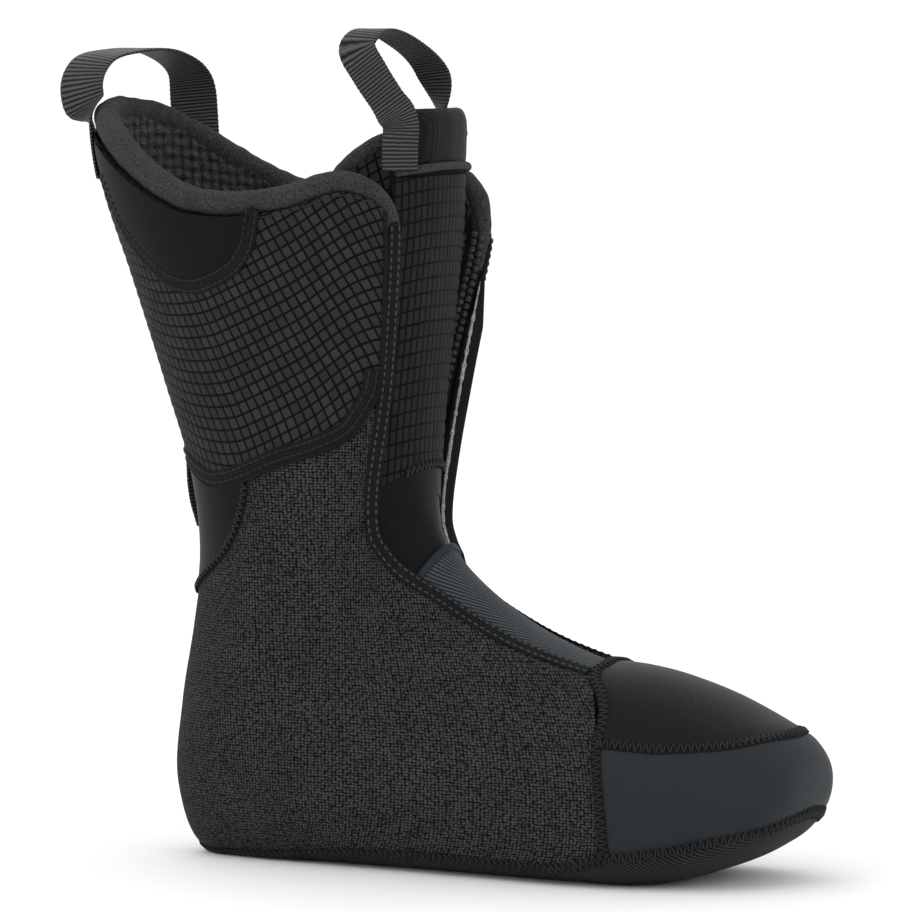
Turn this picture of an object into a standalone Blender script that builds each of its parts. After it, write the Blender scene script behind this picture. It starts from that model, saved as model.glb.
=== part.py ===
"""Inner boot of an alpine touring boot, for the right foot: foam shells, sewn fabric panels, two collar
flaps, a tongue and two webbing pull loops. The origin is on the flat underside of the sole, straight
below the ankle. +X points to the toe, +Z up, and -Y is the outer side of the foot."""
import math

import bmesh
import bpy
import numpy as np

MM = 0.001

# Overall size, in metres.
LENGTH = 0.284          # heel to toe tip
COLLAR_HEIGHT = 0.312   # sole to the top of the rear collar
BALL_WIDTH = 0.102      # across the ball of the foot
COLLAR_WIDTH = 0.118    # across the collar

# Layers, from the outside in. Each lies inside the outer form of the boot.
SKIN = 0.0012           # sewn outer fabric
FOAM = 0.0080           # heat-mouldable foam
LINING = 0.0010         # brushed inner lining
LAYER_GAP = 0.0008      # between layers
SEAM_GAP = 0.0007       # between panels of one layer
OVERLAY = 0.0009        # collar panels sewn over the cuff fabric
HEEL_EASE = 0.0024      # foam trimmed back inside the corner of the heel
TOE_EASE = 0.0005       # room between the toe's foam cup and the fabric over it
FOOTBED_EASE = 0.0009   # extra room under the footbed at the toe
FOOTBED = 0.0030
ANKLE_PAD = 0.0035

ROLL_RADIUS = 0.0058    # rolled collar edge
BINDING_RADIUS = 0.0016
SOLE_BEAD_RADIUS = 0.0011
SOLE_BEAD_ROOM = 0.0009  # between the bead and the fabric on each side of it
TONGUE_SETBACK = 0.0030  # the tongue's face behind the flaps' outer face, low down
TONGUE_LEAN = 0.0060     # and how much further back its top leans
TONGUE_FOAM = 0.0070
FLAP_FLARE = {-1: 0.001, 1: 0.009}   # how far each flap's front edge stands outwards

STRAP_THICK = 0.0016
REAR_STRAP_WIDTH = 0.020
REAR_LOOP_RISE = 0.034
TONGUE_STRAP_WIDTH = 0.016
TONGUE_LOOP_RISE = 0.030
STRAP_CLEAR = 0.0006
HEEL_TAB_WIDTH = 0.018

# Motion: the ankle axis, and the wedges left open in front of it and behind it.
ANKLE_HEIGHT = 0.115
FOOT_FRONT_RAY, CUFF_FRONT_RAY = 20.0, 37.0
FOOT_BACK_RAY, CUFF_BACK_RAY = 13.0, 24.0

# Cross-sections of the form for the reference size, in millimetres, from the toe tip to the collar:
# top or front point (x, z), bottom or back point (x, z), half width, where it is widest (0 front,
# 1 back), roundness of the front and of the back, and sideways shift of the middle. Whatever would
# reach below the ground is pressed flat, which gives the sole its flat middle.
SECTIONS = np.array([
    (210, 41, 210, 41, 0, .50, 2.0, 2.0, 9),
    (208, 52, 208, 29, 22, .50, 2.0, 2.2, 9),
    (202, 60, 202, 20, 33, .52, 2.1, 2.6, 8),
    (190, 66, 190, 12, 42, .55, 2.1, 3.0, 7),
    (172, 75, 172, 4, 48, .60, 2.1, 3.4, 5),
    (148, 83, 148, -1.5, 51, .62, 2.1, 3.6, 3),
    (122, 88, 120, -1.5, 50, .64, 2.1, 3.6, 1),
    (98, 97, 84, -1.5, 46, .62, 2.0, 3.4, 0),
    (78, 108, 44, -1.5, 42, .60, 2.0, 3.2, 0),
    (62, 120, 2, -1.5, 40, .58, 2.0, 2.9, 0),
    (52, 131, -38, -1.5, 38, .56, 2.0, 2.7, 0),
    (47, 140, -64, 3, 37, .54, 2.1, 2.4, 0),
    (45, 148, -74, 26, 38, .52, 2.2, 2.2, 0),
    (44, 158, -73, 60, 38.5, .50, 2.3, 2.0, 0),
    (44, 172, -67, 94, 39.5, .48, 2.4, 2.0, 0),
    (45, 190, -63, 124, 41, .48, 2.4, 2.0, 0),
    (47, 212, -66, 158, 44, .48, 2.4, 2.1, 0),
    (50, 238, -78, 198, 50, .48, 2.4, 2.1, 0),
    (54, 266, -92, 242, 56, .48, 2.4, 2.2, 0),
    (57, 292, -107, 284, 59, .48, 2.4, 2.2, 0),
    (60, 316, -112, 318, 60, .48, 2.4, 2.2, 0),
])
REF_LENGTH, REF_COLLAR, REF_BALL, REF_TOP_WIDTH = 284.0, 312.0, 102.0, 118.0
REF_ANKLE = 115.0

# "way" runs from the toe tip to the collar in millimetres on the reference form, and "side" runs from
# 0 at the top or front middle to 1 at the sole or back middle.
STEPS = 0.5 * (np.linalg.norm(np.diff(SECTIONS[:, 0:2], axis=0), axis=1)
               + np.linalg.norm(np.diff(SECTIONS[:, 2:4], axis=0), axis=1))
WAYS = np.concatenate([[0], np.cumsum(STEPS)])

# Edges of the panels, as (way, side).
SOLE_EDGE = [(11.2, 1), (12.5, .86), (17, .73), (28, .655), (45, .625), (87, .645), (105, .69), (139, .735),
             (171, .775), (208, .845), (233, .905), (244, .95), (249, 1)]
FRONT_EDGE = [(95, .105), (107, .105), (161, .115), (209, .115), (245, .135), (280, .185), (310, .20),
              (359, .185), (433, .175), (500, .175)]
TOE_SEAM = [(107, 0), (107, .105), (104, .155), (93, .35), (87, .645), (87, 1)]
BAND_TOP = [(93, .35), (69, .345), (41, .29), (28, .19), (23, 0)]
FLAP_LINE = [(262, .175), (285, .212), (330, .33), (375, .415), (420, .465), (455, .50), (500, .54)]
RIM = [(.17, 430), (.18, 440), (.205, 450), (.24, 457), (.285, 461), (.40, 455), (.485, 454), (.595, 457),
       (.66, 463), (.73, 472), (.825, 484), (.90, 490), (1.0, 492)]
CUFF_LOW = [(0, 353), (.205, 353), (.35, 346), (.50, 345), (.635, 347), (.735, 351), (.885, 366), (1, 371)]
HEEL_LOW = [(.62, 346), (.635, 333), (.67, 328), (.73, 324), (1, 323)]
COLLAR_LOW = [(.445, 447), (.48, 434), (.535, 425), (.615, 422), (.68, 425), (.74, 434), (.83, 452)]
TONGUE_TOP = 492
TONGUE_EARS = 470       # where the tongue widens, just above the flaps
TONGUE_RIBS_LOW, TONGUE_RIBS_HIGH = 300, 452
FLAP_LOW = 14           # how far above the cuff's lower edge a flap starts
FLAP_FOAM_LOW = 15      # and how much higher its foam, whose tip would swing into the tongue
COLLAR_PANEL_BACK = .82
COLLAR_GAP = 6          # seam gaps from the fold to the collar panel, which the opening flap passes
FOLD_GAP = 1.25         # seam gaps left at a flap's fold
QUARTER_BACK = .636     # where the quarters end and the stretch panel over the tendon starts
LINING_LOW, FLAP_LINING_LOW = 385, 330
ROLL_FRONT = .1736      # side at which the front end of a flap's roll is rounded off
ROLL_FOLD_WAY = 455     # where the rolls of the collar and the flaps meet, at the fold
SOLE_ENDS = (11.2, 249)
SOLE_PANEL_WAYS, FOOTBED_WAYS, FOOTBED_INSET = (13, 247), (34, 228), .045
FOOT_FOAM_FRONT = 96
ANKLE_PAD_WAYS, ANKLE_PAD_SIDES = (215, 250), (.50, .63)
GUSSET_WAYS, INSTEP_PAD_LOW, THROAT_LOW = (109, 236), 97, 237

# The heel tab: way, and depth of the middle of its webbing.
WEBBING_TAB = [(340, -.0024), (348, -.0030), (360, -.0028), (371, -.0018), (380, -.0014)]
# The arches of the pull loops: share of the way across, metres backwards, share of the rise.
REAR_ARCH = [(.0, -.006, .22), (.03, -.009, .52), (.18, -.010, .86), (.45, -.006, 1.0), (.74, -.001, .90),
             (.94, .001, .58)]
TONGUE_ARCH = [(.0, -.002, .25), (.05, -.014, .66), (.20, -.026, 1.0), (.48, -.018, .98), (.76, .004, .74),
               (.98, .007, .32)]

GREY, CLOTH, BLACK = (0.07, 0.07, 0.07), (0.03, 0.03, 0.032), (0.010, 0.011, 0.013)
SLATE, SOLE_CLOTH = (0.022, 0.026, 0.029), (0.015, 0.015, 0.016)
HALF_GIRTH = 185.0      # of the collar, in reference millimetres


def curve_at(x, points):
    """A smooth curve without overshoot through (x, y) points."""
    xs, ys = np.array(points, float).T
    step = np.diff(ys) / np.diff(xs)
    slope = np.zeros(len(xs))
    inner = step[:-1] * step[1:] > 0
    slope[1:-1][inner] = 2 * step[:-1][inner] * step[1:][inner] / (step[:-1] + step[1:])[inner]
    slope[0], slope[-1] = step[0], step[-1]
    x = np.clip(x, xs[0], xs[-1])
    i = np.clip(np.searchsorted(xs, x) - 1, 0, len(xs) - 2)
    h = xs[i + 1] - xs[i]
    t = (x - xs[i]) / h
    return (ys[i] * (2 * t**3 - 3 * t**2 + 1) + slope[i] * h * (t**3 - 2 * t**2 + t)
            + ys[i + 1] * (3 * t**2 - 2 * t**3) + slope[i + 1] * h * (t**3 - t**2))


def section_at(way):
    """The nine section values at each way, by a cubic through the rows of the table."""
    way = np.clip(way, 0, WAYS[-1])
    i = np.clip(np.searchsorted(WAYS, way) - 1, 0, len(WAYS) - 2)
    slope = np.gradient(SECTIONS, WAYS, axis=0)
    h = (WAYS[i + 1] - WAYS[i])[:, None]
    t = (way - WAYS[i])[:, None] / h
    return (SECTIONS[i] * (2 * t**3 - 3 * t**2 + 1) + slope[i] * h * (t**3 - 2 * t**2 + t)
            + SECTIONS[i + 1] * (3 * t**2 - 2 * t**3) + slope[i + 1] * h * (t**3 - t**2))


def to_size(points):
    """Reference millimetres to metres at the size that the named dimensions ask for."""
    x, y, z = points.T
    ball, top = BALL_WIDTH / REF_BALL, COLLAR_WIDTH / REF_TOP_WIDTH
    blend = np.clip((z - REF_ANKLE) / (REF_COLLAR - REF_ANKLE), 0, 1)
    z_top = ANKLE_HEIGHT + (z - REF_ANKLE) * (COLLAR_HEIGHT - ANKLE_HEIGHT) / (REF_COLLAR - REF_ANKLE)
    z_low = z * ANKLE_HEIGHT / REF_ANKLE
    return np.stack([x * LENGTH / REF_LENGTH, y * (ball + (top - ball) * blend),
                     np.where(z > REF_ANKLE, z_top, z_low)], 1)


def plain_form(way, side):
    """Points of the outer form. side may pass 1, which goes on round the other half."""
    shape = np.broadcast_shapes(np.shape(way), np.shape(side))
    way, side = (np.broadcast_to(a, shape).ravel().astype(float) for a in (way, side))
    side = (side + 1) % 2 - 1
    rows = section_at(way)
    ax, az, bx, bz, half, wide, front, back, shift = rows.T[:, :, None]
    turn = np.linspace(0, math.pi / 2, 40)
    down = wide * (1 - np.cos(turn) ** (2 / front))
    rest = wide + (1 - wide) * np.cos(turn[::-1][1:]) ** (2 / back)
    across = np.concatenate([half * np.sin(turn) ** (2 / front), half * np.sin(turn[::-1][1:]) ** (2 / back)], 1)
    along = np.concatenate([down, rest], 1)
    deep = np.hypot(bx - ax, bz - az)
    run = np.cumsum(np.hypot(np.diff(along) * deep, np.diff(across)), 1)
    run = np.concatenate([np.zeros((len(way), 1)), run], 1)
    place = np.abs(side) * run[:, -1]
    s = np.array([np.interp(p, r, a) for p, r, a in zip(place, run, along)])
    y = np.array([np.interp(p, r, a) for p, r, a in zip(place, run, across)])
    points = np.stack([ax[:, 0] + (bx - ax)[:, 0] * s, np.sign(side) * y + shift[:, 0],
                       np.maximum(az[:, 0] + (bz - az)[:, 0] * s, 0)], 1)
    return to_size(points).reshape(shape + (3,))


def outward(way, side, step=0.8, turn=0.006):
    """Unit normals of the outer form."""
    way = np.maximum(way, 1.5)
    along = plain_form(way + step, side) - plain_form(way - step, side)
    round_ = plain_form(way, side + turn) - plain_form(way, side - turn)
    n = np.cross(round_, along)
    return n / np.linalg.norm(n, axis=-1, keepdims=True)


def on_form(way, side, depth):
    """A point this deep inside the outer form (negative stands proud)."""
    return plain_form(way, side) - outward(way, side) * np.asarray(depth)[..., None]


def flare(way, side):
    """How far the flaps stand outwards, most at the front edge and none at the fold."""
    edge, fold = curve_at(way, FRONT_EDGE), curve_at(way, FLAP_LINE)
    near = np.clip((fold - np.abs(side)) / np.maximum(fold - edge, 0.01), 0, 1)
    high = np.clip((way - 300) / 130, 0, 1)
    most = np.where(side < 0, FLAP_FLARE[-1], FLAP_FLARE[1])
    return most * near**2 * high * high * (3 - 2 * high)


def ray_way(side, front_ray, back_ray, height):
    """Where two planes that rise from this height above the ankle, to the front and the back, meet the form."""
    ways = np.linspace(205, 400, 196)
    side = np.asarray(side, float)
    p = plain_form(ways[:, None], side.ravel()[None, :])
    slope = np.where(p[..., 0] > 0, math.tan(math.radians(front_ray)), -math.tan(math.radians(back_ray)))
    above = p[..., 2] - height - slope * p[..., 0]
    first = np.argmax(above > 0, axis=0)
    i = np.arange(above.shape[1])
    low, high = above[first - 1, i], above[first, i]
    return (ways[first] - high / (high - low) * (ways[1] - ways[0])).reshape(side.shape)


def foot_top(side):
    return ray_way(side, FOOT_FRONT_RAY, FOOT_BACK_RAY, ANKLE_HEIGHT - LAYER_GAP / 2)


def cuff_bottom(side):
    return ray_way(side, CUFF_FRONT_RAY, CUFF_BACK_RAY, ANKLE_HEIGHT + LAYER_GAP / 2)


def side_gap(way):
    """The seam gap as a share of the half girth at this way."""
    ring = plain_form(np.reshape(way, (-1, 1)), np.linspace(0, 1, 13)[None, :])
    girth = np.linalg.norm(np.diff(ring, axis=1), axis=2).sum(1)
    return (SEAM_GAP / girth).reshape(np.shape(way))


def sloped_gap(side, edge, gap):
    """How far below a rising or falling edge a piece ends, so that it stays this gap from it."""
    slope = (edge(side + .01) - edge(side - .01)) / (.02 * HALF_GIRTH)
    collar_scale = (COLLAR_HEIGHT - ANKLE_HEIGHT) / MM / (REF_COLLAR - REF_ANKLE)
    return edge(side) - gap / MM / collar_scale * np.sqrt(1 + slope**2)


def under_roll(side):
    """The top edge of the layers that the rolled collar edge covers."""
    return sloped_gap(side, rim_at, ROLL_RADIUS + LAYER_GAP)


def beside_sole_seam(way, up):
    """The side value beside the bead, above it (up 1, the upper fabrics) or below it (up -1, the sole)."""
    room = SOLE_BEAD_RADIUS + SOLE_BEAD_ROOM
    edges = [curve_at(way + shift, SOLE_EDGE) for shift in (-room / MM, room / MM)]
    return (np.minimum(*edges) if up > 0 else np.maximum(*edges)) - up * room / SEAM_GAP * side_gap(way)


def folded(side):
    """side brought back to 0..1 when it runs on past the middle of the back."""
    side = np.abs(side)
    return np.where(side > 1, 2 - side, side)


def rim_at(side):
    return curve_at(folded(side), RIM)


def patch(rows, columns, low_way, high_way, low_side, high_side, lean=None):
    """A grid of (way, side) between two edges that follow side and two that follow way."""
    a = np.linspace(0, 1, rows + 1)[:, None] if lean is None else np.asarray(lean)[:, None]
    b = np.linspace(0, 1, columns + 1)[None, :]
    way = np.full((a.shape[0], columns + 1), 0.0)
    side = np.zeros_like(way) + 0.5
    for _ in range(8):
        way = low_way(side) + (high_way(side) - low_way(side)) * a
        side = low_side(way) + (high_side(way) - low_side(way)) * b
    return way, side


def fixed(value):
    return lambda other: np.full(np.shape(other), float(value))


def add_object(name, mesh, colour, roughness):
    obj = bpy.data.objects.new(name, mesh)
    PARTS.objects.link(obj)
    material = bpy.data.materials.new(name)
    material.use_nodes = True
    shader = material.node_tree.nodes["Principled BSDF"]
    shader.inputs["Base Color"].default_value = (*colour, 1)
    shader.inputs["Roughness"].default_value = roughness
    shader.inputs["Metallic"].default_value = 0.0
    mesh.materials.append(material)
    return obj


def slab(name, outer, inner, colour, roughness=0.9):
    """A closed panel between two grids of points: a grid laid on the outer points, then extruded to the
    inner ones."""
    rows, columns = outer.shape[0], outer.shape[1]
    bm = bmesh.new()
    made = bmesh.ops.create_grid(bm, x_segments=columns - 1, y_segments=rows - 1, size=1)["verts"]
    order = sorted(made, key=lambda v: (round(v.co.y, 5), round(v.co.x, 5)))
    for vert, point in zip(order, outer.reshape(-1, 3)):
        vert.co = point
    bm.verts.index_update()
    target = {tuple(np.round(p, 7)): q for p, q in zip(outer.reshape(-1, 3), inner.reshape(-1, 3))}
    grown = bmesh.ops.extrude_face_region(bm, geom=bm.faces[:], use_keep_orig=True)["geom"]
    for vert in (g for g in grown if isinstance(g, bmesh.types.BMVert)):
        vert.co = target[tuple(np.round(np.array(vert.co), 7))]
    bmesh.ops.recalc_face_normals(bm, faces=bm.faces[:])
    if bm.calc_volume(signed=True) < 0:
        bmesh.ops.reverse_faces(bm, faces=bm.faces[:])
    bmesh.ops.triangulate(bm, faces=bm.faces[:])
    mesh = bpy.data.meshes.new(name)
    bm.to_mesh(mesh)
    bm.free()
    return add_object(name, mesh, colour, roughness)


def layer(name, grid, top, thick, colour, flared=False, roughness=0.9, face=None):
    """A panel of one layer, from depth top to depth top + thick."""
    way, side = grid
    out = -flare(way, side) if flared else np.zeros(way.shape)
    out = out if face is None else out + face(way)
    points = [np.float32(on_form(way, side, out + depth)).astype(float) for depth in (top, top + thick)]
    return slab(name, points[0], points[1], colour, roughness)


def tube(name, points, radius, colour, closed=False, resolution=1):
    """A cord, roll or bead: a curve with a round bevel, its ends capped and welded."""
    curve = bpy.data.curves.new(name, "CURVE")
    curve.dimensions = "3D"
    curve.bevel_depth = radius
    curve.bevel_resolution = resolution
    curve.use_fill_caps = True
    spline = curve.splines.new("POLY")
    spline.points.add(len(points) - 1)
    spline.use_cyclic_u = closed
    for knot, point in zip(spline.points, points):
        knot.co = (*point, 1)
    maker = bpy.data.objects.new(name + "_path", curve)
    CUTTERS.objects.link(maker)
    mesh = bpy.data.meshes.new_from_object(maker.evaluated_get(bpy.context.evaluated_depsgraph_get()))
    bpy.data.objects.remove(maker)
    bm = bmesh.new()
    bm.from_mesh(mesh)
    bmesh.ops.remove_doubles(bm, verts=bm.verts[:], dist=1e-5)
    bmesh.ops.recalc_face_normals(bm, faces=bm.faces[:])
    bm.to_mesh(mesh)
    bm.free()
    mesh.materials.clear()
    return add_object(name, mesh, colour, 0.95)


def smooth_path(points, count):
    """count points along a smooth curve through the given ones, evenly spaced."""
    points = np.array(points, float)
    knots = np.concatenate([[0], np.cumsum(np.linalg.norm(np.diff(points, axis=0), axis=1))])
    slope = np.gradient(points, knots, axis=0)
    fine = np.linspace(0, knots[-1], 400)
    i = np.clip(np.searchsorted(knots, fine) - 1, 0, len(knots) - 2)
    h = (knots[i + 1] - knots[i])[:, None]
    t = (fine - knots[i])[:, None] / h
    curve = (points[i] * (2 * t**3 - 3 * t**2 + 1) + slope[i] * h * (t**3 - 2 * t**2 + t)
             + points[i + 1] * (3 * t**2 - 2 * t**3) + slope[i + 1] * h * (t**3 - t**2))
    run = np.concatenate([[0], np.cumsum(np.linalg.norm(np.diff(curve, axis=0), axis=1))])
    even = np.linspace(0, run[-1], count)
    return np.stack([np.interp(even, run, curve[:, k]) for k in range(3)], 1)


def strap(name, path, width_ways, width, colour):
    """A flat webbing strap along a path, its width along the given directions, thickened by Solidify."""
    across = width_ways / np.linalg.norm(width_ways, axis=1, keepdims=True) * width / 2
    points = np.stack([path - across, path + across], 1)
    bm = bmesh.new()
    made = bmesh.ops.create_grid(bm, x_segments=1, y_segments=len(path) - 1, size=1)["verts"]
    order = sorted(made, key=lambda v: (round(v.co.y, 5), round(v.co.x, 5)))
    for vert, point in zip(order, points.reshape(-1, 3)):
        vert.co = point
    mesh = bpy.data.meshes.new(name)
    bm.to_mesh(mesh)
    bm.free()
    obj = add_object(name, mesh, colour, 0.8)
    solid = obj.modifiers.new("thickness", "SOLIDIFY")
    solid.thickness = STRAP_THICK
    solid.offset = 0
    return obj


def toe_chart(east, north):
    """(way, side) of points on a flat map of the toe whose middle is the toe tip and whose east is up."""
    return np.hypot(east, north), np.arctan2(north, east) / math.pi


def chart_edge(points):
    way, side = np.array(points, float).T
    return np.stack([way * np.cos(math.pi * side), way * np.sin(math.pi * side)], 1)


def spread(points, count):
    """Points evenly spaced along a polyline on the toe's map."""
    run = np.concatenate([[0], np.cumsum(np.linalg.norm(np.diff(points, axis=0), axis=1))])
    even = np.linspace(0, run[-1], count)
    return np.stack([np.interp(even, run, points[:, k]) for k in range(2)], 1)


def between(low, high, left, right):
    """A grid that fills four edges on the toe's map (a Coons patch)."""
    a = np.linspace(0, 1, len(left))[:, None, None]
    b = np.linspace(0, 1, len(low))[None, :, None]
    corners = ((1 - a) * (1 - b) * low[0] + (1 - a) * b * low[-1] + a * (1 - b) * high[0] + a * b * high[-1])
    grid = (1 - a) * low[None] + a * high[None] + (1 - b) * left[:, None] + b * right[:, None] - corners
    return toe_chart(grid[..., 0], grid[..., 1])


def both_ways(points):
    """An edge from one side round the front to the other."""
    return [(w, -s) for w, s in points] + [(w, s) for w, s in points[::-1][1:]]


def sole_parts():
    """The sole fabric, the bead that closes its seam, and the loose footbed inside."""
    ends = 0.5 - 0.5 * np.cos(np.linspace(0.18, math.pi - 0.18, 19))
    way = SOLE_ENDS[0] + (SOLE_ENDS[1] - SOLE_ENDS[0]) * ends
    edge = beside_sole_seam(way, -1)
    across = 0.5 - 0.5 * np.cos(np.linspace(0, math.pi, 9))[None, :]

    def strip(inset, from_way, to_way):
        keep = (way > from_way) & (way < to_way)
        low = np.minimum((edge + inset)[keep], 0.985)[:, None]
        return np.repeat(way[keep][:, None], 9, 1), low + (2 - 2 * low) * across

    layer("sole_panel", strip(0, *SOLE_PANEL_WAYS), 0, SKIN, SOLE_CLOTH)
    inner = SKIN + FOAM + 2 * LAYER_GAP
    bed = strip(FOOTBED_INSET, *FOOTBED_WAYS)
    stretch = LENGTH / MM / REF_LENGTH
    ease = FOOTBED_EASE * stretch**2 * np.clip((110 - bed[0]) / 15, .5, 1)
    layer("footbed", bed, inner + ease, FOOTBED, GREY)
    w, s = np.array(both_ways(list(zip(*edge_points(SOLE_EDGE, 40)))[::-1])).T
    path = smooth_path(on_form(w, s, np.full(len(w), SOLE_BEAD_RADIUS * 0.4)), 49)[:-1]
    tube("sole_seam", path, SOLE_BEAD_RADIUS, BLACK, closed=True)


def edge_points(points, count):
    """(way, side) along an edge, closer together where it turns in to the middle."""
    t = 0.5 - 0.5 * np.cos(np.linspace(0, math.pi, count))
    low, high = points[0][0], points[-1][0]
    way = low + (high - low) * t
    return way, curve_at(way, points)


def foot_side(name, sign, colour):
    """One side of the foot: foam shell, outer fabric and the pad beside the ankle bone."""
    def front(way):
        return curve_at(way, FRONT_EDGE)

    def low(side):
        return curve_at(side, [(s, w) for w, s in TOE_SEAM]) + SEAM_GAP / MM

    def sole(way):
        return np.where(way > 251.5, 1 - side_gap(way) / 2, beside_sole_seam(way, 1))

    def skin_top(side):
        heel = curve_at(side, HEEL_LOW) - SEAM_GAP / MM
        return np.where(side > HEEL_LOW[0][0], np.minimum(foot_top(side), heel), foot_top(side))

    way, side = patch(16, 11, low, skin_top, front, lambda w: np.minimum(sole(w), 1 - side_gap(w) / 2))
    layer("quarter_fabric_" + name, (way, sign * side), 0, SKIN, colour)

    way, side = patch(15, 11, fixed(FOOT_FOAM_FRONT), foot_top, lambda w: front(w) + 0.004, lambda w: 1 - side_gap(w) / 2)
    heel = np.clip(1 - np.abs(way - 248) / 32, 0, 1) * np.clip((side - .72) / .15, 0, 1)
    layer("foot_foam_" + name, (way, sign * side), SKIN + LAYER_GAP + HEEL_EASE * heel, FOAM, GREY)

    way, side = patch(4, 3, *map(fixed, ANKLE_PAD_WAYS), *map(fixed, ANKLE_PAD_SIDES))
    inner = SKIN + FOAM + 2 * LAYER_GAP
    layer("ankle_pad_" + name, (way, sign * side), inner, ANKLE_PAD, GREY)


def toe_parts():
    """The toe: a foam cup, the smooth band round it and the stretch fabric over its top."""
    grid = np.linspace(-1, 1, 12)
    x, y = np.meshgrid(grid, grid)
    reach = 95 - SEAM_GAP / MM
    way, side = toe_chart(reach * x * np.sqrt(1 - y * y / 2), reach * y * np.sqrt(1 - x * x / 2))
    layer("toe_foam", (way, side), SKIN + LAYER_GAP + TOE_EASE, FOAM, GREY)

    gap = SEAM_GAP / MM
    rear = [(w - gap, s) for w, s in ((107, 0), (107, .105), (104, .155), (93, .33))]
    top_side = [(92, .33), (69, .33), (50, .297)]
    top_front = [(50, .297), (41, .27), (29, .17), (24, 0)]
    low = spread(chart_edge(both_ways(rear[::-1])), 13)
    high = spread(chart_edge(both_ways(top_front)), 13)
    left = spread(chart_edge([(w, -s) for w, s in top_side]), 6)
    right = spread(chart_edge(top_side), 6)
    left[0], right[0], left[-1], right[-1] = low[0], low[-1], high[0], high[-1]
    layer("toe_cap_top", between(low, high, left, right), 0, SKIN, BLACK)

    band_low = [(86, .62), (45, .60), (27, .632), (15.8, .70), (10.7, .835), (9.2, 1)]
    low = spread(chart_edge(both_ways(band_low)), 21)
    high = spread(chart_edge(both_ways([(92 - gap, .352), *BAND_TOP[1:-1], (22.4, 0)])), 21)
    left = spread(np.stack([low[0], high[0]]), 6)
    right = spread(np.stack([low[-1], high[-1]]), 6)
    layer("toe_band", between(low, high, left, right), 0, SKIN, SLATE)


def instep_parts():
    """The elastic gusset and its pad, which close the instep below the tongue."""
    def edge(way):
        return curve_at(way, FRONT_EDGE) - side_gap(way)

    way, side = patch(9, 4, *map(fixed, GUSSET_WAYS), lambda w: -edge(w), edge)
    layer("instep_gusset", (way, side), 2 * SKIN + LAYER_GAP, SKIN, SLATE)
    way, side = patch(9, 4, fixed(INSTEP_PAD_LOW), fixed(GUSSET_WAYS[1]), lambda w: -edge(w) - .002,
                      lambda w: edge(w) + .002)
    layer("instep_pad", (way, side), 3 * SKIN + 2 * LAYER_GAP, FOAM / 2, GREY)
    way, side = patch(3, 4, fixed(THROAT_LOW), lambda s: np.full(np.shape(s), tongue_low() - SEAM_GAP / MM),
                      lambda w: -edge(w) + .006, lambda w: edge(w) - .006)
    layer("throat_stretch_panel", (way, side), TONGUE_SETBACK, SKIN, BLACK)


def heel_parts():
    """The stretch panel over the heel tendon and the webbing tab behind it."""
    def low(side):
        return curve_at(folded(side), HEEL_LOW)

    def high(side):
        return curve_at(folded(side), CUFF_LOW) - SEAM_GAP / MM

    way, side = patch(4, 10, low, high, fixed(QUARTER_BACK), fixed(2 - QUARTER_BACK))
    layer("achilles_panel", (way, side), 0, SKIN, BLACK)
    path = np.array([on_form(w, 1.0, d) for w, d in WEBBING_TAB])
    strap("achilles_webbing", path, np.tile((0, 1, 0), (len(path), 1)), HEEL_TAB_WIDTH, GREY)


def cuff_parts():
    """The cuff: foam, fabric, lining, and the rolled edge, from fold to fold round the back."""
    def fold(way):
        return curve_at(way, FLAP_LINE)

    def far_fold(way):
        return 2 - fold(way)

    foam = SKIN + LAYER_GAP

    def low(side):
        return cuff_bottom(folded(side))

    grid = patch(8, 18, low, under_roll, fold, far_fold)
    layer("cuff_foam", grid, foam, FOAM, GREY)
    grid = patch(6, 18, lambda s: curve_at(folded(s), CUFF_LOW), under_roll, fold, far_fold)
    layer("cuff_panel", grid, 0, SKIN, CLOTH)
    grid = patch(4, 18, fixed(LINING_LOW), under_roll, fold, far_fold)
    layer("cuff_lining", grid, foam + FOAM + LAYER_GAP, LINING, GREY)
    for name, sign in (("lateral", -1), ("medial", 1)):
        way, side = patch(5, 5, low, lambda s: curve_at(s, CUFF_LOW) - SEAM_GAP / MM, fold,
                          lambda w: np.full(np.shape(w), QUARTER_BACK) - side_gap(w))
        layer("quarter_upper_" + name, (way, sign * side), 0, SKIN, CLOTH)
        way, side = patch(3, 6, lambda s: curve_at(s, COLLAR_LOW), lambda s: under_roll(s) - SEAM_GAP / MM,
                          lambda w: fold(w) + COLLAR_GAP * side_gap(w), fixed(COLLAR_PANEL_BACK))
        layer("collar_panel_" + name, (way, sign * side), -OVERLAY - LAYER_GAP, OVERLAY, BLACK)
    roll_end = float(fold(ROLL_FOLD_WAY)) + .006
    side = np.linspace(roll_end, 2 - roll_end, 30)
    tube("collar_roll", on_form(rim_at(side), side, np.full(30, ROLL_RADIUS)), ROLL_RADIUS, GREY)


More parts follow.
